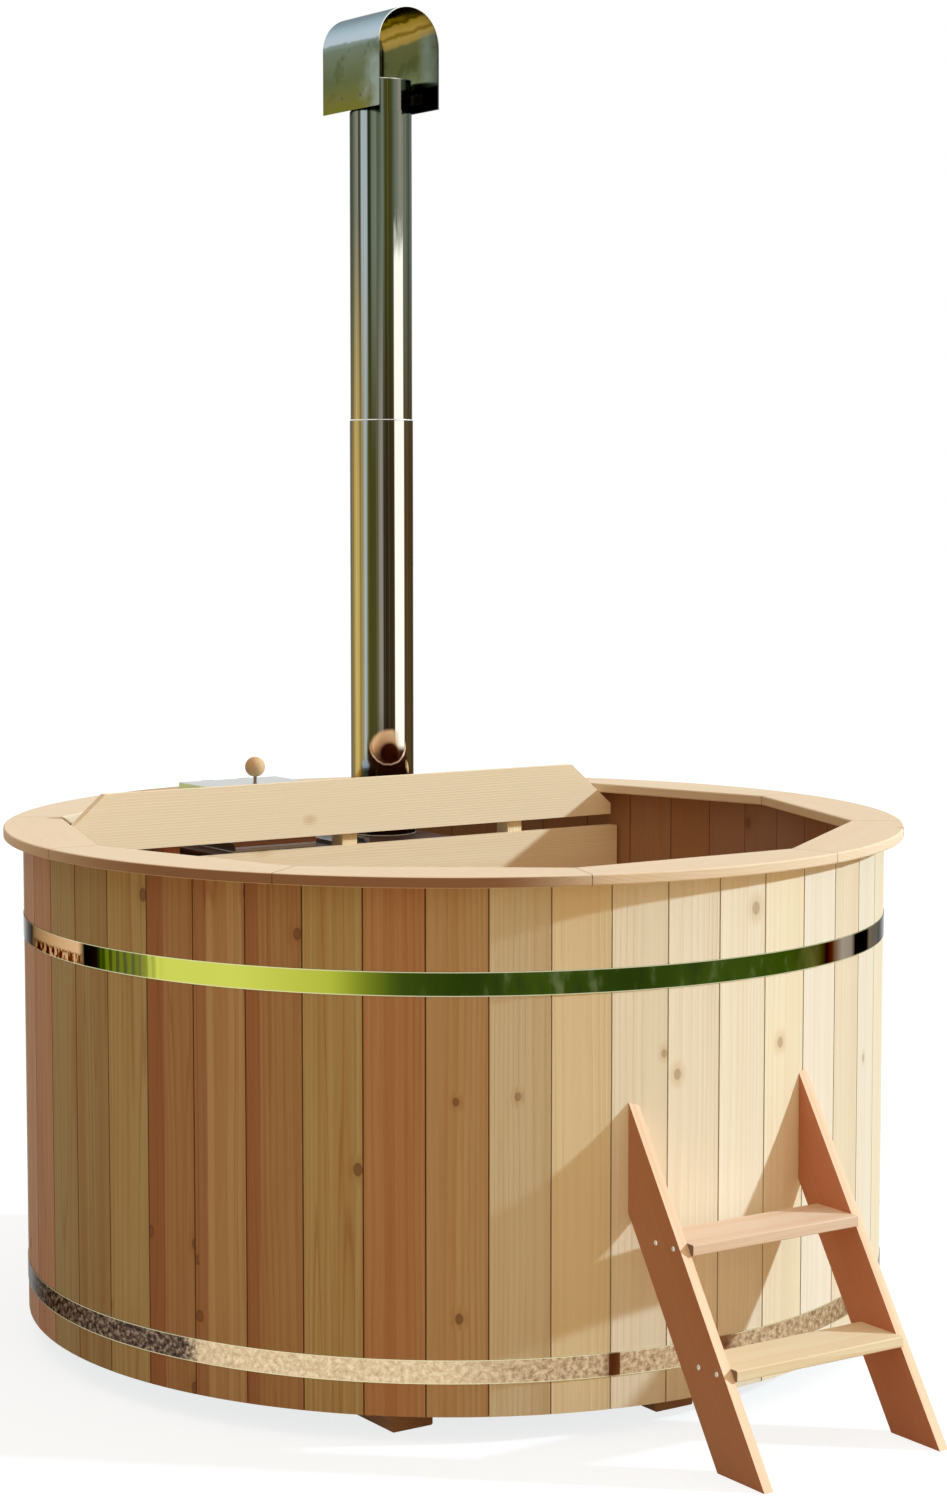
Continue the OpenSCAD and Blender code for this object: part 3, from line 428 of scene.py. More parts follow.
def grain_lines(finish, across, inward, along, shift, luck, ring, swirl):
    """Masks of the rings' dark late wood, of the slow streaks and of the fine fibres."""
    wander = finish.noise(finish.vector(across * 3, inward * 3, along * 0.7 + shift), 2.0, 2.0) - 0.5
    streak = finish.noise(finish.vector(across * 34, inward * 34, along * 0.7 + shift), 1.0, 3.0)
    fibre = finish.noise(finish.vector(across * 300, inward * 300, along * 5 + shift), 1.0, 2.0)
    slope = (luck[1] - 0.5) * 0.016
    off_heart = across - (luck[2] - 0.5) * 0.16 + wander * 0.020 + along * slope + swirl * 0.006
    deep = inward + luck[0] * 0.09 + 0.03
    rings = ((off_heart * off_heart + deep * deep).root() / ring).fract()
    return rings.fade(0.3, 0.9) * (1 - rings.fade(0.92, 1.0)), streak, fibre


def wall_tone(finish, tone, draw, number, shade):
    """Tone of a stave: painted darker right of the front against the strong sun, and with the shade side's
    darker tones left of it, partly their own and partly painted shade.
    """
    tone = finish.mix(sun_dimmed_staves(number), tone, finish.tint(tone, SUNLIT_DIMMING))
    return finish.mix(shade, tone, finish.tint(finish.ramp(draw, SHADE_SIDE_STAVE_TONES), SHADE_SIDE))


def end_grain(finish, axis):
    """Share of the end tone on a board's two faces across an axis (its ends, or a ladder side's broad faces),
    lighter on the face that looks along the axis.
    """
    facing = finish.facing(axis)
    return (facing.fade(-0.75, -0.9) + facing.fade(0.75, 0.9) * 0.5) * 0.72


def wood(name, frame_of, tones, ring=0.0055, knot_share=0.05, seam=0.0, depth=1.0, end_axis=None,
         end_tone=END_GRAIN, wall=False, dark_rim=False, guard=False):
    """Planed softwood: rings cut flat or edge-on, slow streaks, fine fibres, knots and end grain."""
    finish = Finish(name, specular_ior_level=0.2)
    across, inward, along, seed, share = frame_of(finish)
    luck = finish.luck(seed)
    shift = luck[0] * 40 + luck[1] * 7
    knot, rim, swirl = knots(finish, across, along, shift, knot_share)
    late, streak, fibre = grain_lines(finish, across, inward, along, shift, luck, ring, swirl)
    tone, shade = finish.ramp(luck[1], tones), 0.0
    if wall:
        number = seed - STAVE_SEED
        shade = shade_side_staves(number)
        tone = wall_tone(finish, tone, luck[1], number, shade)
        # Knots and grain show stronger on the shaded staves and fainter on the sunlit ones, as painted light
        knot, rim = knot * (shade * 0.5 + 0.5), rim * (shade * 0.6 + 0.4)
        depth = shade * 0.9 + depth
    dark = finish.tint(tone, LATE_WOOD)
    colour = finish.coats(tone, (streak.fade(0.38, 0.72) * 0.42 * depth, finish.tint(tone, RUDDY)),
                          ((late * 0.30 + fibre.fade(0.45, 0.75) * 0.20) * depth, dark))
    if wall:
        # Heartwood lies mostly on the shaded staves, partly as painted shade
        colour = finish.mix(heartwood(finish, across, along, shift, seed, share, shade), colour, HEART)
    colour = finish.coats(colour, (swirl * 0.4, dark), (knot * 0.8, KNOT), (rim * 0.55, KNOT_RIM))
    height = late * 0.5 + fibre * 0.6 + knot * 0.4
    if end_axis is not None:
        colour = finish.mix(end_grain(finish, end_axis), colour, end_tone)
    # Painted shade on the rim's outer edge, left of the front
    if dark_rim:
        colour = finish.mix(rim_edge_shade(finish), colour, RIM_EDGE_SHADE)
    if guard:
        colour = finish.mix(faint_knot(along, across), colour, FAINT_KNOT)
    if seam:
        line = abs(share - 0.5).fade(0.5 - seam, 0.5 - seam * 0.5)
        # Seams: dark joints, drawn darker on the shaded staves as painted shade
        colour = finish.mix(line * (shade * 0.35 + 0.6), colour, SEAM)
        height = height - line * 2
    if wall:
        outer = inward.above(0.02) * 2 - 1
        height = height + across * across * outer * (0.5 / TUB_R / GRAIN_DEPTH)
        # Painted shade on the wall's inner face
        colour = finish.mix(inward.fade(0.012, 0.0), colour, finish.tint(colour, INSIDE_SHADE))
    finish.use(base_color=colour, roughness=fibre * 0.18 + late * -0.06 + 0.52)
    return finish.bump(height, GRAIN_DEPTH).material


# ---------- Metal ----------

# Colours of the mirror metals: painted reflections of the garden and sky round the tub, each named for what
# it mirrors
CLOUD = rgb(254, 253, 240)
SKY_GREY = rgb(172, 184, 186)
MIST = rgb(140, 134, 122)
HAZE = rgb(110, 120, 102)
SAGE = rgb(82, 92, 74)
GOLD_GRASS = rgb(208, 178, 104)
STRAW_GRASS = rgb(156, 136, 78)
OLIVE = rgb(98, 96, 52)
MOSS = rgb(70, 68, 26)
FERN = rgb(116, 128, 30)
LEAF = rgb(54, 72, 14)
HEDGE = rgb(37, 53, 8)
HEDGE_GLINT = rgb(128, 136, 92)
LAWN = rgb(174, 180, 60)
LIME = rgb(200, 204, 86)
DULL_SKY = rgb(176, 164, 148)
DEEP = rgb(34, 42, 22)
BARK = rgb(36, 31, 12)
UMBER = rgb(84, 64, 38)
BROWN = rgb(110, 66, 36)
PEACH = rgb(228, 186, 142)
EDGE_GLINT = rgb(226, 222, 180)
# Painted reflections round the chimney's pipes, low and high, and round the upper hoop
LOW_BANDS = [
    (-214, MIST), (-193, MIST), (-188, STRAW_GRASS), (-184, STRAW_GRASS), (-179, GOLD_GRASS),
    (-171, GOLD_GRASS), (-164, STRAW_GRASS), (-158, STRAW_GRASS), (-154, SKY_GREY), (-151, SKY_GREY),
    (-148, OLIVE), (-144, MOSS), (-130, MOSS), (-125, MIST), (-120.5, MIST), (-118.5, BARK), (-74, UMBER),
    (-44, UMBER), (-34, MIST), (-8, SKY_GREY), (20, MOSS), (60, GOLD_GRASS), (84, BARK), (122, MIST)]
HIGH_BANDS = [
    (-214, HAZE), (-186, SAGE), (-180, HAZE), (-173, MIST), (-169, MIST), (-167.5, DEEP), (-163, SAGE),
    (-160, SKY_GREY), (-149, SKY_GREY), (-146, DEEP), (-142, DEEP), (-138, HAZE), (-132, HAZE),
    (-129, SAGE), (-124, SAGE), (-118, HAZE), (-115, MOSS), (-103, MOSS), (-98, SAGE), (-92, HAZE),
    (-82, MIST), (-74, HAZE), (-60, SAGE), (-34, SKY_GREY), (-8, HAZE), (20, SAGE), (60, SKY_GREY),
    (84, SAGE), (122, HAZE)]
UPPER_HOOP_BANDS = [
    (-203, HEDGE), (-193.6, UMBER), (-192.4, PEACH), (-177, PEACH), (-176, BARK), (-172.5, BARK),
    (-171.5, LEAF), (-164.6, OLIVE), (-162.4, LIME), (-150, LIME), (-138, LAWN), (-134, FERN),
    (-130, LEAF), (-122, HEDGE), (-114, LEAF), (-102, HEDGE), (-94, LEAF), (-78, LEAF), (-73, OLIVE),
    (-70.6, BARK), (-68, BROWN), (-66.8, DULL_SKY), (-62.6, DULL_SKY), (-62, BARK), (-57, BARK),
    (-56.4, DULL_SKY), (-52, DULL_SKY), (-51, BARK), (-20, SKY_GREY), (20, MIST), (90, HAZE)]
# Painted reflections of gravel in the lower hoop: in shade, in sun, and plain
SHADY_GRAVEL = [(0.36, rgb(46, 36, 30)), (0.5, rgb(90, 74, 62)), (0.64, rgb(150, 130, 110))]
SUNNY_GRAVEL = [(0.3, rgb(186, 158, 122)), (0.5, rgb(216, 190, 152)), (0.68, rgb(240, 220, 184))]
PLAIN_GRAVEL = [(0.34, rgb(138, 112, 84)), (0.48, rgb(184, 154, 120)), (0.62, rgb(212, 186, 150))]

# The guard's end as the chimney's foot mirrors it: its middle and its half size, in degrees and metres
GUARD_RING_AT, GUARD_RING_HALF = (250, 1.157), (35, 0.042)

# Painted reflections up the hood's sheet: 0 is at HOOD_LOW and 1 is HOOD_TALL above it
HOOD_LOW, HOOD_TALL, HOOD_MIDDLE_Z = 2.60, 0.24, 2.70
OUTSIDE_SHEET = [
    (0.0, rgb(122, 119, 50)), (0.15, rgb(116, 115, 66)), (0.3, rgb(102, 110, 74)), (0.5, rgb(114, 122, 98)),
    (0.60, rgb(118, 130, 112)), (0.645, rgb(140, 154, 148)), (0.665, rgb(190, 206, 212)),
    (0.74, rgb(192, 212, 222)), (1.0, rgb(172, 202, 216))]
INSIDE_SHEET = [
    (0.24, rgb(124, 132, 100)), (0.50, rgb(92, 98, 62)), (0.715, rgb(98, 100, 64)),
    (0.74, rgb(150, 128, 68)), (0.79, rgb(164, 138, 72)), (0.815, rgb(118, 94, 36)),
    (0.84, rgb(166, 138, 68)), (0.885, rgb(152, 126, 58)), (0.90, rgb(82, 70, 22)),
    (0.93, rgb(126, 106, 44)), (0.95, rgb(58, 58, 18)), (1.0, rgb(44, 46, 14))]


def bands(finish, angle, stops):
    """Colour round an axis: stops are (degrees, colour), and the last one runs on to the first."""
    turn = (angle / math.tau).wrap(1.0)
    placed = sorted(((degrees / 360) % 1.0, colour) for degrees, colour in stops)
    return finish.ramp(turn, [(0.0, placed[-1][1]), *placed])


def scuffs(finish, vector, base, spread):
    """Roughness of handled metal: fine scratches and slow smudges."""
    fine = finish.noise(vector, 1.0, 3.0)
    slow = finish.noise(finish.place(), 9.0, 2.0)
    return fine * spread + slow.fade(0.4, 0.75) * spread + base


def angle_about(finish, centre):
    """Angle round an upright axis, and the height."""
    x, y, z = finish.split(finish.place())
    return angle_of(x - centre[0], y - centre[1]), z


def chimney_foot(finish, colour, degrees, height, leafy):
    """Painted reflection at the foot of the pipe: the guard's end as a ring with a dark middle, and painted
    shade below.
    """
    across = (degrees - GUARD_RING_AT[0]) / GUARD_RING_HALF[0]
    up = (height - GUARD_RING_AT[1]) / GUARD_RING_HALF[1]
    ring = (across * across + up * up).root() + (leafy - 0.5) * 0.12
    outline = abs(ring - 0.97).fade(0.06, 0.03)
    core = ((across - 0.04) ** 2 * 4 + (up + 0.36) ** 2 * 2.8).root()
    sky_patch = ((across + 1.26) ** 2 * 16 + (up + 1.05) ** 2 * 8).root()
    plank_end = ((across - 0.85 + up * 0.25) ** 2 * 60 + (up + 1.15) ** 2 * 6).root()
    return finish.coats(
        colour,
        (abs(degrees - 248.5).fade(40, 35) * up.fade(0.1, -0.3), rgb(62, 36, 24)),
        (ring.fade(1.05, 0.80) * up.fade(-1.1, 0.2) * across.fade(0.75, 0.1), PEACH),
        (outline * up.fade(0.35, -0.1), PEACH),
        (core.fade(1.2, 0.8) * ring.fade(0.93, 0.88), rgb(78, 34, 16)),
        (outline * up.fade(-0.2, -0.6), rgb(240, 216, 208)),
        (sky_patch.fade(1.15, 0.6), rgb(166, 180, 194)),
        (plank_end.fade(1.1, 0.7), rgb(220, 206, 166)))


def chimney_steel():
    """Mirror steel of the pipes, with painted upright reflections of garden and sky and a painted bright
    cloud band.
    """
    finish = Finish("chimney_mirror", metallic=1.0)
    angle, height = angle_about(finish, CHIMNEY)
    ripple = finish.noise(finish.vector(angle * 3, height * 0.5, 0.0), 1.4, 2.0) - 0.5
    turned = angle + ripple * 0.04
    degrees = in_degrees(turned)
    fine = finish.noise(finish.vector(angle * 46, height * 0.3, 0.0), 1.0, 3.0, 0.65)
    leafy = finish.noise(finish.vector(angle * 7, height * 11, 0.0), 1.0, 4.0)
    # Painted reflection of a bright cloud: a narrow upright band, fading out high up
    bright = abs(degrees - 272.3).fade(10.6, 9.6) * (height + leafy * 0.16).fade(2.46, 2.34)
    colour = finish.coats(
        bands(finish, turned, LOW_BANDS),
        ((height + ripple * 0.3).fade(1.72, 2.45), bands(finish, turned, HIGH_BANDS)),
        (fine.fade(0.46, 0.66) * 0.5, DEEP),
        (fine.fade(0.46, 0.32) * 0.3, MIST),
        (bright, CLOUD))
    colour = chimney_foot(finish, colour, degrees, height, leafy)
    rough = scuffs(finish, finish.vector(angle * 60, height * 3, 0.0), 0.06, 0.06)
    return finish.rim_light(0.4).use(base_color=colour, roughness=rough).bump(fine, 0.0002, 0.1).material


def strip_edges(height, middle):
    """Share of painted highlight on a hoop's two rounded edges, which show as thin lines."""
    return abs(height - middle).fade(HOOP_HALF - 0.0022, HOOP_HALF - 0.0012) * 0.7


def upper_hoop_steel():
    """Mirror steel of the upper hoop, with painted reflections of lawn and hedges."""
    finish = Finish("upper_hoop_mirror", metallic=1.0)
    angle, height = angle_about(finish, (0.0, 0.0))
    degrees = in_degrees(angle)
    hedge = finish.noise(finish.vector(angle * 26, height * 12, 0.0), 1.0, 4.0)
    twigs = finish.noise(finish.vector(angle * 60, height * 40, 0.0), 1.0, 4.0)
    trunks = abs(degrees - 175.6).fade(8.6, 8.0) * (height + twigs * 0.03).fade(0.872, 0.866)
    stems = (degrees * 0.7 + hedge * 0.5).fract().fade(0.35, 0.6)
    stems = stems * degrees.fade(187.5, 189) * degrees.fade(200, 196)
    leafy = degrees.fade(228, 240) * degrees.fade(289, 286)
    colour = finish.coats(
        bands(finish, angle + (hedge - 0.5) * 0.004, UPPER_HOOP_BANDS),
        (trunks * twigs.fade(0.40, 0.55), BROWN),
        (stems * 0.7, FERN),
        (hedge.fade(0.52, 0.72) * leafy * 0.4, HEDGE_GLINT),
        (hedge.fade(0.5, 0.3) * leafy * 0.5, DEEP),
        (strip_edges(height, UPPER_HOOP_Z), EDGE_GLINT))
    rough = scuffs(finish, finish.vector(angle * 90, height * 900, 0.0), 0.06, 0.06)
    return finish.rim_light(0.22).use(base_color=colour, roughness=rough).bump(hedge, 0.0003, 0.08).material


def lower_hoop_steel():
    """Mirror steel of the lower hoop, with painted reflections of gravel, painted sunlit towards the ladder.
    """
    finish = Finish("lower_hoop_mirror", metallic=1.0)
    angle, height = angle_about(finish, (0.0, 0.0))
    degrees = in_degrees(angle)
    point = finish.vector(angle * TUB_R, height, 0.0)
    pebble = finish.noise(point, 96.0, 4.0, 0.65)
    speck = finish.noise(point, 190.0, 2.0, 0.6)
    colour = finish.coats(
        finish.ramp(pebble, SHADY_GRAVEL),
        ((degrees + pebble * 4).fade(204, 207), finish.ramp(pebble, SUNNY_GRAVEL)),
        ((degrees + pebble * 8).fade(238, 250), finish.ramp(pebble, PLAIN_GRAVEL)),
        # A thin brown line in the painted reflection
        (abs(degrees - 255.8).fade(0.75, 0.65), BROWN),
        (speck.fade(0.58, 0.7) * 0.25, BROWN),
        (strip_edges(height, LOWER_HOOP_Z), EDGE_GLINT))
    rough = scuffs(finish, finish.vector(angle * 90, height * 900, 0.0), 0.12, 0.08)
    return finish.rim_light(0.36).use(base_color=colour, roughness=rough).bump(pebble, 0.0003, 0.1).material


def hood_outside(finish, y, z, blotch, shift):
    """Outside of the hood, painted reflection: sky on its arch, dull greens on its sides, with a cool patch
    at the front.
    """
    return finish.coats(
        finish.ramp((z + shift * 0.25 - HOOD_LOW) / HOOD_TALL, OUTSIDE_SHEET),
        (blotch.fade(0.54, 0.68) * z.fade(2.762, 2.740) * 0.55, rgb(84, 92, 60)),
        ((y + blotch * 0.14).fade(0.67, 0.58) * z.fade(2.742, 2.70) * 0.75, rgb(160, 174, 168)))


def hood_inside(finish, y, z, blotch, shift):
    """Inside of the hood, painted reflection: gold lines under the arch, and near black low down round the
    pipe's mouth.
    """
    return finish.coats(
        finish.ramp((z + (y - 0.52) * 0.05 + shift * 0.3 - HOOD_LOW) / HOOD_TALL, INSIDE_SHEET),
        (blotch.fade(0.5, 0.62) * z.fade(2.745, 2.735) * 0.4, rgb(66, 74, 38)),
        ((y + blotch * 0.06).fade(0.64, 0.57) * z.fade(2.79, 2.76) * 0.85, rgb(132, 146, 132)),
        (z.fade(2.662, 2.656), rgb(14, 13, 11)))


def hood_steel():
    """Bright sheet of the hood with painted reflections, and its cut edges painted bright on the arch and
    dark on the sides.
    """
    finish = Finish("hood_sheet", metallic=1.0)
    x, y, z = finish.split(finish.place())
    blotch = finish.noise(finish.vector(x * 9, y * 11, z * 13), 2.0, 4.0)
    shift = blotch * 0.05 - 0.025
    outward = (x - CHIMNEY.x) * finish.facing(X) + (z - HOOD_MIDDLE_Z) * finish.facing(Z)
    colour = finish.coats(
        hood_inside(finish, y, z, blotch, shift),
        (outward.fade(-0.002, 0.002), hood_outside(finish, y, z, blotch, shift)),
        # The sheet's cut edges: painted highlight on the arch, painted shade down the sides
        (abs(finish.facing(Y)).fade(0.7, 0.9), finish.mix(z.fade(2.735, 2.775), rgb(96, 102, 88), CLOUD)))
    rough = scuffs(finish, finish.vector(x * 40, y * 900, z * 40), 0.14, 0.1)
    return finish.rim_light(0.3).use(base_color=colour, roughness=rough).bump(blotch, 0.004, 0.12).material


def hem_steel():
    """Hems of the hood: painted highlight on the arch, painted shade on the upright edges, hardly a mirror on
    the back lip.
    """
    finish = Finish("hood_hem_skin", metallic=1.0)
    x, y, z = finish.split(finish.place())
    grime = finish.noise(finish.vector(x * 60, y * 60, z * 60), 1.0, 3.0)
    # Painted shade on the upright edges and the back lip
    dull = z.fade(2.775, 2.740)
    lip = dull * y.fade(0.756, 0.758)
    colour = finish.coats(rgb(212, 212, 200), (dull, rgb(84, 90, 66)), (lip, rgb(136, 140, 96)),
                          (grime.fade(0.45, 0.75) * 0.4, rgb(70, 74, 62)))
    finish.use(base_color=colour, metallic=1 - lip * 0.9, roughness=grime * 0.2 + dull * 0.4 + 0.3)
    return finish.rim_light(0.3).material


def neck_steel():
    """Hatch neck: a painted reflection of the guard's warm back in its front face, with a painted pale line
    of reflected light near its foot.
    """
    finish = Finish("hatch_neck_skin", metallic=1.0)
    x, y, z = finish.split(finish.place())
    lines = finish.noise(finish.vector(x * 500, y * 30, z * 30), 1.0, 3.0)
    mirrored = finish.mix(z.fade(0.9575, 0.9565), rgb(181, 125, 91), rgb(255, 236, 200))
    mirrored = finish.mix(abs(z - 0.9600).fade(0.0030, 0.0020), mirrored, rgb(255, 252, 246))
    colour = finish.mix(finish.facing(Y).fade(-0.6, -0.8), rgb(150, 150, 146), mirrored)
    return finish.use(base_color=colour, roughness=lines * 0.18 + 0.24).bump(lines, 0.0003, 0.2).material


def lid_steel():
    """Bright lid with painted reflections: sky on the sheet, a strip of lawn at its left edge."""
    finish = Finish("lid_sheet", metallic=1.0)
    x, y, z = finish.split(finish.place())
    lines = finish.noise(finish.vector(x * 30, y * 700, z * 30), 1.0, 3.0)
    lawn = (x + lines * 0.01).fade(-0.255, -0.270) * z.fade(LID_TOP - 0.0005, LID_TOP - 0.002)
    colour = finish.coats(rgb(188, 192, 188), (lines.fade(0.3, 0.7) * 0.4, rgb(160, 166, 166)),
                          (lawn * 0.8, rgb(170, 176, 84)))
    return finish.use(base_color=colour, roughness=lines * 0.12 + 0.2).bump(lines, 0.0003, 0.2).material


def brushed(name, colour, stretch, rough, soot, metallic=1.0):
    """Brushed sheet: long fine scratches, faint stains, and soot where smoke meets it."""
    finish = Finish(name, metallic=metallic)
    point = finish.place()
    x, y, z = finish.split(point)
    lines = finish.noise(finish.vector(x * stretch[X], y * stretch[Y], z * stretch[Z]), 1.0, 3.0)
    cloud = finish.noise(point, 6.0, 4.0)
    stains = lines.fade(0.35, 0.7) * 0.5 + cloud.fade(0.45, 0.7) * 0.35
    tone = finish.coats(colour, (stains, finish.tint(colour, rgb(210, 206, 198))),
                        (cloud.fade(0.35, 0.65) * soot, rgb(52, 46, 42)))
    level = lines * 0.18 + cloud.fade(0.4, 0.8) * 0.12 + rough - 0.08
    return finish.use(base_color=tone, roughness=level).bump(lines, 0.0004, 0.25).material


def cast_iron(name):
    """Grate iron: rough skin, with patches of rust and fine specks of ash."""
    finish = Finish(name, metallic=0.6)
    point = finish.place()
    grain = finish.noise(point, 320.0, 4.0)
    cloud = finish.noise(point, 14.0, 3.0)
    colour = finish.coats(rgb(62, 58, 56), (cloud.fade(0.4, 0.65), rgb(104, 74, 54)),
                          (grain.fade(0.5, 0.75) * 0.5, rgb(140, 134, 126)))
    return finish.use(base_color=colour, roughness=grain * 0.3 + 0.55).bump(grain, 0.0012, 0.6).material


def brass(name):
    """Valve brass: cast skin, with darker patches and fine dull brown specks."""
    finish = Finish(name, metallic=1.0)
    point = finish.place()
    grain = finish.noise(point, 260.0, 3.0)
    cloud = finish.noise(point, 22.0, 3.0)
    tone = finish.coats(rgb(196, 158, 84), (cloud.fade(0.4, 0.7) * 0.6, rgb(138, 100, 52)),
                        (grain.fade(0.55, 0.8) * 0.25, rgb(90, 62, 34)))
    rough = grain * 0.16 + cloud * 0.16 + 0.2
    return finish.use(base_color=tone, roughness=rough).bump(grain, 0.0006, 0.25).material


def paint(name, colour, worn):
    """Enamel with a soft orange-peel skin, rubbed through to metal in places."""
    finish = Finish(name, coat_weight=0.4, coat_roughness=0.15)
    point = finish.place()
    skin = finish.noise(point, 420.0, 2.0)
    chips = finish.noise(point, 90.0, 5.0, 0.7)
    bare = chips.fade(0.66, 0.70)
    tone = finish.coats(colour, (chips.fade(0.3, 0.7) * 0.35, worn), (bare, rgb(170, 170, 170)))
    finish.use(base_color=tone, metallic=bare, roughness=skin * 0.15 + 0.3)
    return finish.bump(skin, 0.0004, 0.2).material


def bolt_steel(name, colour=rgb(222, 220, 214)):
    """Turned fastener steel with fine tool marks and a little grime."""
    finish = Finish(name, metallic=1.0)
    point = finish.place()
    marks = finish.noise(point, 900.0, 2.0)
    grime = finish.noise(point, 60.0, 3.0)
    tone = finish.mix(grime.fade(0.45, 0.75) * 0.5, colour, rgb(120, 112, 104))
    rough = marks * 0.15 + grime * 0.15 + 0.18
    return finish.use(base_color=tone, roughness=rough).bump(marks, 0.0003, 0.2).material


def weld_steel():
    """Weld metal: ripples tinted straw and blue by the heat."""
    finish = Finish("weld_skin", metallic=1.0)
    point = finish.place()
    heat = finish.noise(point, 55.0, 3.0)
    grain = finish.noise(point, 700.0, 2.0)
    colour = finish.ramp(heat, [(0.30, rgb(108, 112, 128)), (0.44, rgb(150, 146, 140)),
                                (0.56, rgb(176, 158, 126)), (0.70, rgb(118, 104, 96))])
    return finish.use(base_color=colour, roughness=grain * 0.2 + 0.28).bump(grain, 0.0003, 0.3).material


# ---------- Dressing the CAD pieces ----------

def dress(material, *names):
    for name in names:
        node = NODES[name]
        node.data.materials.clear()
        node.data.materials.append(material)


def dress_tub_wood():
    """Wall, rim, floor, beams and benches."""
    dress(wood("wall_spruce", round_wall, STAVE_TONES, knot_share=0.09, seam=0.014, depth=0.36, wall=True),
          "staves")
    rim = round_boards(math.tau / RIM_BOARDS, math.pi / RIM_BOARDS, RIM_SEED)
    dress(wood("rim_spruce", rim, RIM_TONES, knot_share=0.03, seam=0.0026, depth=0.3, dark_rim=True),
          *[f"rim_board_{i + 1}" for i in range(RIM_BOARDS)])
    pitch = 2 * (WALL_IN + FLOOR_GROOVE) / FLOOR_BOARDS
    floor = board_rows(pitch, -FLOOR_BOARDS / 2 * pitch, FLOOR_SEED)
    dress(wood("floor_spruce", floor, BOARD_TONES, knot_share=0.08, seam=0.012), "floor_boards")
    for i, name in enumerate(("beam_left", "beam_middle", "beam_right")):
        dress(wood(f"{name}_spruce", straight(Y, X, BEAM_SEED + i), SHADED_BEAM_TONES, knot_share=0.08, end_axis=Y),
              name)
    first = -math.pi / 2 - 2.5 * SEAT_STEP
    seats = round_boards(SEAT_STEP, first, SEAT_SEED, SEAT_PITCH)
    dress(wood("seat_spruce", seats, BOARD_TONES, knot_share=0.06), "seat_slats")
    bearers = round_boards(SEAT_STEP, first + SEAT_STEP / 2, BEARER_SEED)
    dress(wood("bearer_spruce", bearers, BOARD_TONES, knot_share=0.08), "seat_bearers")


def dress_guard_and_ladder():
    """The guard's boards and posts, the ladder, and the lid's knob."""
    for i in range(GUARD_BOARDS):
        knot_share, depth = (0.08, 0.4) if i else (0.0, 0.1)
        dress(wood(f"guard_spruce_{i + 1}", straight(X, Z, GUARD_SEED + i), GUARD_TONES,
                   knot_share=knot_share, depth=depth, end_axis=X, guard=True), f"guard_board_{i + 1}")
    for i, name in enumerate(("guard_post_left", "guard_post_middle", "guard_post_right")):
        dress(wood(f"{name}_spruce", straight(Z, X, POST_SEED + i), BOARD_TONES if i else SHADED_POST_TONES,
                   knot_share=0.05, end_axis=Z), name)
    # The broad faces of the ladder's sides take painted shade
    for i, (side, side_shade) in enumerate(LADDER_SIDE_SHADES):
        dress(wood(f"ladder_{side}_spruce", raked(LADDER_SEED + i), LADDER_TONES, knot_share=0.0,
                   depth=0.7, end_axis=X, end_tone=side_shade), f"ladder_side_{side}")
    for i, (step, tones) in enumerate(STEP_TONES.items()):
        dress(wood(f"step_{step}_spruce", straight(X, Y, STEP_SEED + i), tones, knot_share=0.0,
                   depth=0.7, end_axis=X, end_tone=STEP_END_GRAIN_AND_SHADE), f"ladder_step_{step}")
    dress(wood("knob_beech", straight(Z, X, KNOB_SEED), KNOB_TONES, ring=0.006, knot_share=0.0, depth=0.6),
          "lid_knob")


def dress_metal():
    dress(upper_hoop_steel(), "upper_hoop")
    dress(lower_hoop_steel(), "lower_hoop")
    dress(chimney_steel(), "chimney_lower_pipe", "chimney_upper_pipe", "hood_sleeve", "chimney_collar")
    dress(hood_steel(), "hood")
    dress(lid_steel(), "hatch_lid")
    # The stove plate's dark red-brown is painted reflection of the shaded wood round it
    dress(brushed("stove_plate", rgb(100, 66, 48), (30, 30, 500), rough=0.5, soot=0.2, metallic=0.35),
          "stove_shell", "stove_feet", "flue_baffle", "ash_pan", "stove_top_plate")
    dress(brushed("hatch_plate", rgb(196, 200, 202), (500, 30, 30), rough=0.3, soot=0.18),
          "air_slide", "air_slide_rails", "hinge_bracket")
    dress(neck_steel(), "hatch_neck")
    dress(cast_iron("grate_iron_skin"), "fire_grate")
    dress(bolt_steel("bolt_skin"), "hoop_bolts", "hoop_lugs", "guard_screws", "ladder_screws", "hinge_pin")
    dress(bolt_steel("stem_skin", rgb(146, 116, 96)), "lid_stem")
    # Darker steel for the hood's rivets and brackets
    dress(bolt_steel("dark_steel_skin", rgb(96, 92, 82)), "hood_rivets", "hood_brackets")
    dress(brass("drain_brass_skin"), "drain_valve", "drain_nut")
    dress(paint("lever_enamel", rgb(176, 36, 30), rgb(132, 26, 24)), "drain_lever")


# ---------- Small pieces ----------

HEM_R = 0.0012
HEM_INSET = HOOD_R - HEM_R - 0.0001
HEM_FOOT_Z = PIPE_TOP_Z + HEM_R
LIP_WIDE = 0.0070
LIP_BACK, LIP_FRONT = HOOD_ENDS[1] - 0.0006, HOOD_ENDS[1] - 0.0018
SIDE_STEPS, ARCH_STEPS = 12, 56
BEAD_R = 0.0016
WELD_R = 0.0024
WELD_STEP = 0.00125
WELD_STEPS_A_RIPPLE = 4
WELD_Z = PLATE_TOP + 0.0006
COLLAR_WELD_R = 0.0765
PIPE_SEAM_TURN = 1.15
STEP_SCREWS = ((0.17975, -1.1775), (0.37975, -1.0491))
STEP_SCREW_SET = (0.034, 0.086)
LADDER_FACES = ((-0.1951, -1), (0.2371, 1))
GUARD_POSTS_X = (-0.439, 0.009, 0.457)
GUARD_TOP_MIDDLE_Z, GUARD_PITCH, GUARD_SCREW_SPREAD = 1.045, 0.149, 0.030


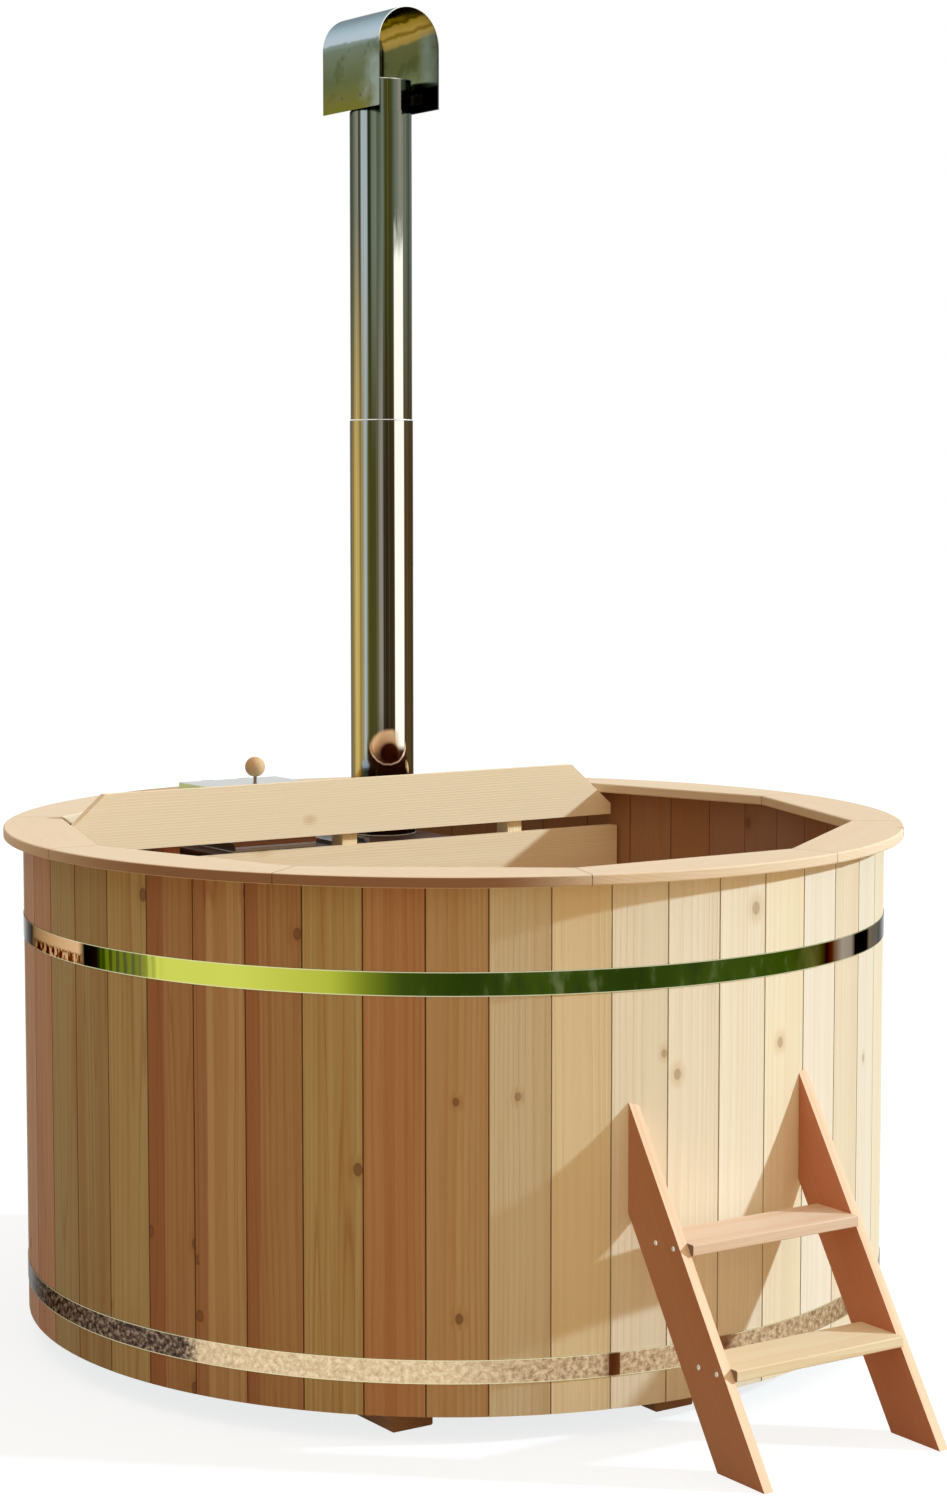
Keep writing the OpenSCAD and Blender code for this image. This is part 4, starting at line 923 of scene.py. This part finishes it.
def put_in_scene(name, data):
    made = bpy.data.objects.new(name, data)
    bpy.context.scene.collection.objects.link(made)
    return made


def mesh_of(name, shape, skin):
    """Turns a bmesh into a mesh with one material."""
    mesh = bpy.data.meshes.new(name)
    shape.to_mesh(mesh)
    shape.free()
    mesh.materials.append(skin)
    return mesh


def add_piece(name, shape, skin, body="tub"):
    """Makes a piece of a bmesh, in its place on a CAD body."""
    bmesh.ops.recalc_face_normals(shape, faces=shape.faces)
    mesh = mesh_of(name, shape, skin)
    for face in mesh.polygons:
        face.use_smooth = True
    piece = put_in_scene(name, mesh)
    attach(piece, body)


def join_rings(shape, rings, closed=False, ends=True):
    """Skins a row of rings of points. A closed row comes back to its first ring, and an open one has ends."""
    for here, there in zip(rings, rings[1:] + rings[:1] if closed else rings[1:]):
        for j in range(len(here)):
            k = (j + 1) % len(here)
            shape.faces.new((here[j], here[k], there[k], there[j]))
    if ends and not closed:
        shape.faces.new(rings[0])
        shape.faces.new(rings[-1])


def turns_of(count):
    return [math.tau * i / count for i in range(count)]


def sweep(shape, path, up, radius, closed=False, sides=8, ripple=0.0):
    """Adds a bead along a flat path square to up. Ripple swells it from step to step, as a weld is."""
    rings = []
    for i, point in enumerate(path):
        before = path[i - 1] if closed or i else point
        after = path[(i + 1) % len(path)] if closed or i + 1 < len(path) else point
        side = (after - before).normalized().cross(up)
        swell = radius * (1 + ripple * math.sin(i * math.tau / WELD_STEPS_A_RIPPLE))
        rings.append([shape.verts.new(point + (side * math.cos(turn) + up * math.sin(turn)) * swell)
                      for turn in turns_of(sides)])
    join_rings(shape, rings, closed)


def weld(shape, path, up, radius=WELD_R, closed=True, ripple=0.2):
    sweep(shape, path, up, radius, closed, sides=6, ripple=ripple)


def ring_path(centre, radius, z, count):
    return [Vector((centre[0] + radius * math.cos(a), centre[1] + radius * math.sin(a), z))
            for a in turns_of(count)]


def straight_path(start, end, step=WELD_STEP):
    count = max(2, round((end - start).length / step))
    return [start.lerp(end, i / count) for i in range(count + 1)]


def frame_path(corners):
    """Closed path round a polygon, in even steps."""
    path = []
    for start, end in zip(corners, corners[1:] + corners[:1]):
        path += straight_path(start, end)[:-1]
    return path


def hood_path(inset, y):
    """Line of the hood's end, up one side, over the arch and down the other side."""
    spring = PIPE_TOP_Z + HOOD_SIDE
    arch = [Vector((CHIMNEY.x - inset * math.cos(a), y, spring + inset * math.sin(a)))
            for a in (math.pi * i / ARCH_STEPS for i in range(ARCH_STEPS + 1))]
    foot = [Vector((CHIMNEY.x - inset, y, HEM_FOOT_Z + HOOD_SIDE * i / SIDE_STEPS))
            for i in range(SIDE_STEPS)]
    far = [Vector((2 * CHIMNEY.x - point.x, point.y, point.z)) for point in reversed(foot)]
    return foot + arch + far


def hood_lip(shape):
    """Adds a stiff lip with sharp edges, folded in round the hood's back end."""
    inner = HEM_INSET - LIP_WIDE
    corners = ((HEM_INSET, LIP_BACK), (inner, LIP_BACK), (inner, LIP_FRONT), (HEM_INSET, LIP_FRONT))
    sections = [[shape.verts.new(point) for point in section]
                for section in zip(*(hood_path(inset, y) for inset, y in corners))]
    join_rings(shape, sections)
    for section in sections:
        for vert in section:
            for edge in vert.link_edges:
                edge.smooth = False


def hood_hems(skin):
    """Wire edges rolled into the hood's open ends and lower edges, and the lip of its back end."""
    shape = bmesh.new()
    for y, into in zip(HOOD_ENDS, (HEM_R, -HEM_R)):
        sweep(shape, hood_path(HEM_INSET, y + into), BACK, HEM_R)
    hood_lip(shape)
    for side in (-HEM_INSET, HEM_INSET):
        start, end = (Vector((CHIMNEY.x + side, y, HEM_FOOT_Z)) for y in HOOD_ENDS)
        sweep(shape, straight_path(start, end, step=0.02), UP, HEM_R)
    add_piece("hood_hems", shape, skin)


def pipe_beads(skin):
    """Rolled bead at the mouth of the lower pipe, and another at the top of the hood's sleeve."""
    for name, radius, z in (("lower_pipe_bead", PIPE_R - 0.0004, PIPE_JOINT_Z - 0.0014),
                            ("hood_sleeve_bead", 0.0689, SLEEVE_TOP_Z - 0.0014)):
        shape = bmesh.new()
        sweep(shape, ring_path(CHIMNEY, radius, z, count=96), UP, BEAD_R, closed=True)
        add_piece(name, shape, skin)


def pipe_seams(skin):
    """Welded seams up the back of both pipes."""
    shape = bmesh.new()
    out = Vector((math.cos(PIPE_SEAM_TURN), math.sin(PIPE_SEAM_TURN), 0.0))
    middle = Vector((*CHIMNEY, 0.0))
    for radius, low, high in ((PIPE_R, PLATE_TOP + 0.047, PIPE_JOINT_Z - 0.004),
                              (UPPER_PIPE_R, PIPE_JOINT_Z + 0.001, PIPE_TOP_Z - 0.001)):
        foot = middle + out * (radius - 0.0004)
        weld(shape, straight_path(foot + UP * low, foot + UP * high), out, radius=0.0012, closed=False)
    add_piece("pipe_seams", shape, skin)


def corner_welds(skin):
    """Beads up the four corners of the stove's shell."""
    low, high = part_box("stove_shell")
    shape = bmesh.new()
    for x in (low[X], high[X]):
        for y in (low[Y], high[Y]):
            start, end = Vector((x, y, low[Z] + 0.002)), Vector((x, y, high[Z] - 0.002))
            path = straight_path(start, end, step=0.00175)
            weld(shape, path, BACK, radius=0.0022, closed=False, ripple=0.22)
    add_piece("stove_corner_welds", shape, skin)


def neck_weld(skin):
    """Bead round the hatch neck's foot, inside its flange."""
    low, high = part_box("hatch_neck")
    set_in = 0.006
    x0, x1, y0, y1 = low[X] + set_in, high[X] - set_in, low[Y] + set_in / 2, high[Y]
    shape = bmesh.new()
    foot = [Vector((x, y, WELD_Z)) for x, y in ((x0, y0), (x1, y0), (x1, y1), (x0, y1))]
    weld(shape, frame_path(foot), UP)
    add_piece("hatch_neck_weld", shape, skin)


def collar_weld(skin):
    """Bead round the foot of the chimney's collar."""
    shape = bmesh.new()
    weld(shape, ring_path(CHIMNEY, COLLAR_WELD_R, WELD_Z, count=384), UP)
    add_piece("collar_weld", shape, skin)


def lug_welds(skin):
    """Beads round the feet of the four lugs that close the hoops."""
    out = Vector((math.cos(LUG_TURN), math.sin(LUG_TURN), 0.0))
    along = Vector((-math.sin(LUG_TURN), math.cos(LUG_TURN), 0.0))
    tall = 0.018
    shape = bmesh.new()
    for z in (LOWER_HOOP_Z, UPPER_HOOP_Z):
        for near, far in ((0.032, 0.044), (-0.044, -0.032)):
            corners = [out * math.sqrt((TUB_R + 0.0018) ** 2 - u * u) + along * u + UP * (z + v)
                       for u, v in ((near, -tall), (far, -tall), (far, tall), (near, tall))]
            weld(shape, frame_path(corners), out, radius=0.0015)
    add_piece("lug_welds", shape, skin)


def screw_head(shape, centre, out, radius, dome):
    """Adds a domed head with a cross recess. Centre is the middle of its foot; out points off the wood."""
    side = out.cross(UP).normalized()
    up = side.cross(out)
    turns, shares = turns_of(40), (0.10, 0.20, 0.30, 0.38, 0.46, 0.52, 0.60, 0.75, 0.88, 0.96, 1.0)
    arm, reach, deep, foot = 0.13, 0.50, 0.8, -0.0002

    def lift(share, turn):
        crosswise = share * min(abs(math.sin(turn)), abs(math.cos(turn)))
        cut = deep if crosswise < arm and share < reach else 0.0
        return dome * (math.sqrt(1 - 0.97 * share * share) - cut * (1 - share))

    def point(share, turn, height):
        return centre + (side * math.cos(turn) + up * math.sin(turn)) * (radius * share) + out * height
    rings = [[shape.verts.new(point(share, turn, lift(share, turn))) for turn in turns] for share in shares]
    rings.append([shape.verts.new(point(1.0, turn, foot)) for turn in turns])
    middle = shape.verts.new(centre + out * lift(0.0, 0.0))
    for here, there in zip(rings[0], rings[0][1:] + rings[0][:1]):
        shape.faces.new((middle, here, there))
    join_rings(shape, rings, ends=False)
    shape.faces.new(rings[-1])


def screw_heads(skin):
    """Cross-head screws of the ladder's steps and of the guard boards."""
    shape = bmesh.new()
    for z, front in STEP_SCREWS:
        for set_back in STEP_SCREW_SET:
            for x, out in LADDER_FACES:
                screw_head(shape, Vector((x, front + set_back, z)), Vector((out, 0, 0)),
                           radius=0.0052, dome=0.0018)
    add_piece("ladder_screw_heads", shape, skin)
    guard_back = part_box("guard_screws")[1][Y] - 0.0004
    shape = bmesh.new()
    for x in GUARD_POSTS_X:
        for board in range(GUARD_BOARDS):
            for spread in (-GUARD_SCREW_SPREAD, GUARD_SCREW_SPREAD):
                z = GUARD_TOP_MIDDLE_Z - board * GUARD_PITCH + spread
                screw_head(shape, Vector((x, guard_back, z)), BACK, radius=0.0050, dome=0.0014)
    add_piece("guard_screw_heads", shape, skin)


def knob_washer(skin):
    """Dished washer under the wooden knob's stem, on the lid."""
    shape = bmesh.new()
    profile = ((0.0043, 0.0001), (0.0046, 0.0017), (0.0070, 0.0015), (0.0098, 0.0004), (0.0100, 0.0),
               (0.0043, 0.0))
    rings = [[shape.verts.new(point) for point in ring_path(KNOB, radius, LID_TOP + z, count=40)]
             for radius, z in profile]
    join_rings(shape, rings, closed=True)
    add_piece("knob_washer", shape, skin, body="fuel_lid")


def grip_ring(shape, x, half_y, half_z):
    """Oblong section of the grip with round corners, round the lever's middle line."""
    middle_y, middle_z = 0.944, 0.232

    def bulged(value):
        return math.copysign(abs(value) ** 0.6, value)
    return [shape.verts.new((x, middle_y + bulged(math.cos(turn)) * half_y,
                             middle_z + bulged(math.sin(turn)) * half_z)) for turn in turns_of(28)]


def lever_grip():
    """Soft sleeve dipped over the outer end of the drain lever, with shallow ribs."""
    end_x, mouth_x, wide, thick = -0.092, -0.030, 0.0108, 0.0038
    shank_steps, end_steps, steps_a_rib = 48, 10, 6
    shape, rings = bmesh.new(), []
    steps = [mouth_x + (end_x - mouth_x) * i / shank_steps for i in range(shank_steps + 1)]
    steps += [end_x - wide * math.sin(math.pi / 2 * i / end_steps) for i in range(1, end_steps + 1)]
    for i, x in enumerate(steps):
        round_end = math.sqrt(max(0.004, 1 - (min(0.0, x - end_x) / wide) ** 2))
        lip = 1.10 if i < 2 else 1.0
        rib = 1 + 0.05 * math.sin(i * math.tau / steps_a_rib) if 3 < i < shank_steps - 2 else 1.0
        rings.append(grip_ring(shape, x, wide * round_end * lip, thick * round_end ** 0.5 * lip * rib))
    join_rings(shape, rings)
    vinyl = paint("grip_vinyl", rgb(182, 30, 26), rgb(140, 22, 22))
    add_piece("lever_grip", shape, vinyl, body="drain_lever")


def add_small_pieces():
    bright = bolt_steel("hem_skin", rgb(232, 234, 228))
    weld_metal = weld_steel()
    hood_hems(hem_steel())
    pipe_beads(bright)
    for add_welds in (pipe_seams, corner_welds, neck_weld, collar_weld, lug_welds):
        add_welds(weld_metal)
    screw_heads(bolt_steel("screw_skin", rgb(226, 222, 208)))
    knob_washer(bright)
    lever_grip()


# ---------- Floor, light and camera ----------

HORIZON = (0.128, 0.080, 0.023, 1.0)
ZENITH = (1.26, 1.12, 1.02, 1.0)
HAZE_LIGHT = (0.98, 0.74, 0.48, 1.0)
HAZE_FROM = (-0.080, -0.904, 0.420)
WHITE = (1.0, 1.0, 1.0, 1.0)
FLOOR_R = 60.0
FLOOR_BOUNCE = (0.50, 0.37, 0.21, 1.0)
FLOOR_PAPER = (0.30, 0.30, 0.30, 1.0)
FLOOR_GLOW = (0.78, 0.80, 0.81, 1.0)
SUN_FROM = Vector((0.7954, -0.4592, 0.3955))
SUN_POWER = 3.15
SUN_TINT = (0.710, 0.880, 1.0)
SUN_WIDTH = math.radians(2.5)
CAMERA_AT = (-3.419, -5.185, 1.754)
CAMERA_HEADING = (0.5560, 0.8312)
CAMERA_PITCH = math.radians(5.064)
LENS_MM, SENSOR_MM = 71.14, 36.0


def seen_directly(part):
    """1 for rays from the camera, a mirror or through glass, and 0 for the light that falls on things."""
    camera, mirror, glass = (part.node("LightPath", None, None, name) for name in
                             ("Is Camera Ray", "Is Glossy Ray", "Is Transmission Ray"))
    return camera.largest(mirror.largest(glass))


def make_world():
    """White where it is seen, and a warm garden under a pale sky where it lights the wood."""
    world = bpy.data.worlds.new("studio")
    bpy.context.scene.world = world
    world.use_nodes = True
    sky = Tree(world.node_tree)
    toward = sky.node("TexCoord", None, None, "Generated")
    up = sky.split(toward)[Z]
    ahead = sky.node("VectorMath", {"operation": "DOT_PRODUCT"}, {0: toward, 1: HAZE_FROM}, "Value")
    light = sky.mix(up.largest(0.0) ** 3, HORIZON, ZENITH)
    light = sky.mix(ahead.largest(0.0) ** 4, light, HAZE_LIGHT)
    sky.link(sky.mix(seen_directly(sky), light, WHITE), world.node_tree.nodes["Background"].inputs["Color"])


def make_floor():
    """Pale floor: it sends up soft warm light, and seen directly it is almost white, with the shadow."""
    finish = Finish("floor_paper", roughness=1.0, base_color=FLOOR_BOUNCE, specular_ior_level=0.0)
    paper = finish.node("BsdfDiffuse", None, {"Color": FLOOR_PAPER})
    glow = finish.node("Emission", None, {"Color": FLOOR_GLOW, "Strength": 1.0})
    bright = finish.node("AddShader", None, {0: paper, 1: glow})
    bounce = Signal(finish, finish.shader.outputs[0])
    finish.link(finish.node("MixShader", None, {0: seen_directly(finish), 1: bounce, 2: bright}),
                finish.tree.nodes["Material Output"].inputs["Surface"])
    shape = bmesh.new()
    bmesh.ops.create_circle(shape, cap_ends=True, segments=96, radius=FLOOR_R)
    floor = put_in_scene("floor", mesh_of("floor", shape, finish.material))


def aim(thing, direction, axis):
    """Turns a lamp or the camera so that one of its own axes points along a direction."""
    thing.rotation_mode = "QUATERNION"
    thing.rotation_quaternion = direction.to_track_quat(axis, "Y")


def make_sun():
    lamp = bpy.data.lights.new("sun", "SUN")
    lamp.energy = SUN_POWER
    lamp.color = SUN_TINT
    lamp.angle = SUN_WIDTH
    aim(put_in_scene("sun", lamp), SUN_FROM, "Z")


def make_camera():
    lens = bpy.data.cameras.new("camera")
    lens.lens = LENS_MM
    lens.sensor_width = SENSOR_MM
    lens.clip_end = 200.0
    camera = put_in_scene("camera", lens)
    camera.location = CAMERA_AT
    level = math.cos(CAMERA_PITCH)
    forward = Vector((CAMERA_HEADING[X] * level, CAMERA_HEADING[Y] * level, -math.sin(CAMERA_PITCH)))
    aim(camera, forward, "-Z")
    bpy.context.scene.camera = camera


bpy.context.scene.view_settings.view_transform = "Standard"
make_camera()
make_world()
make_sun()
make_floor()
dress_tub_wood()
dress_guard_and_ladder()
dress_metal()
add_small_pieces()
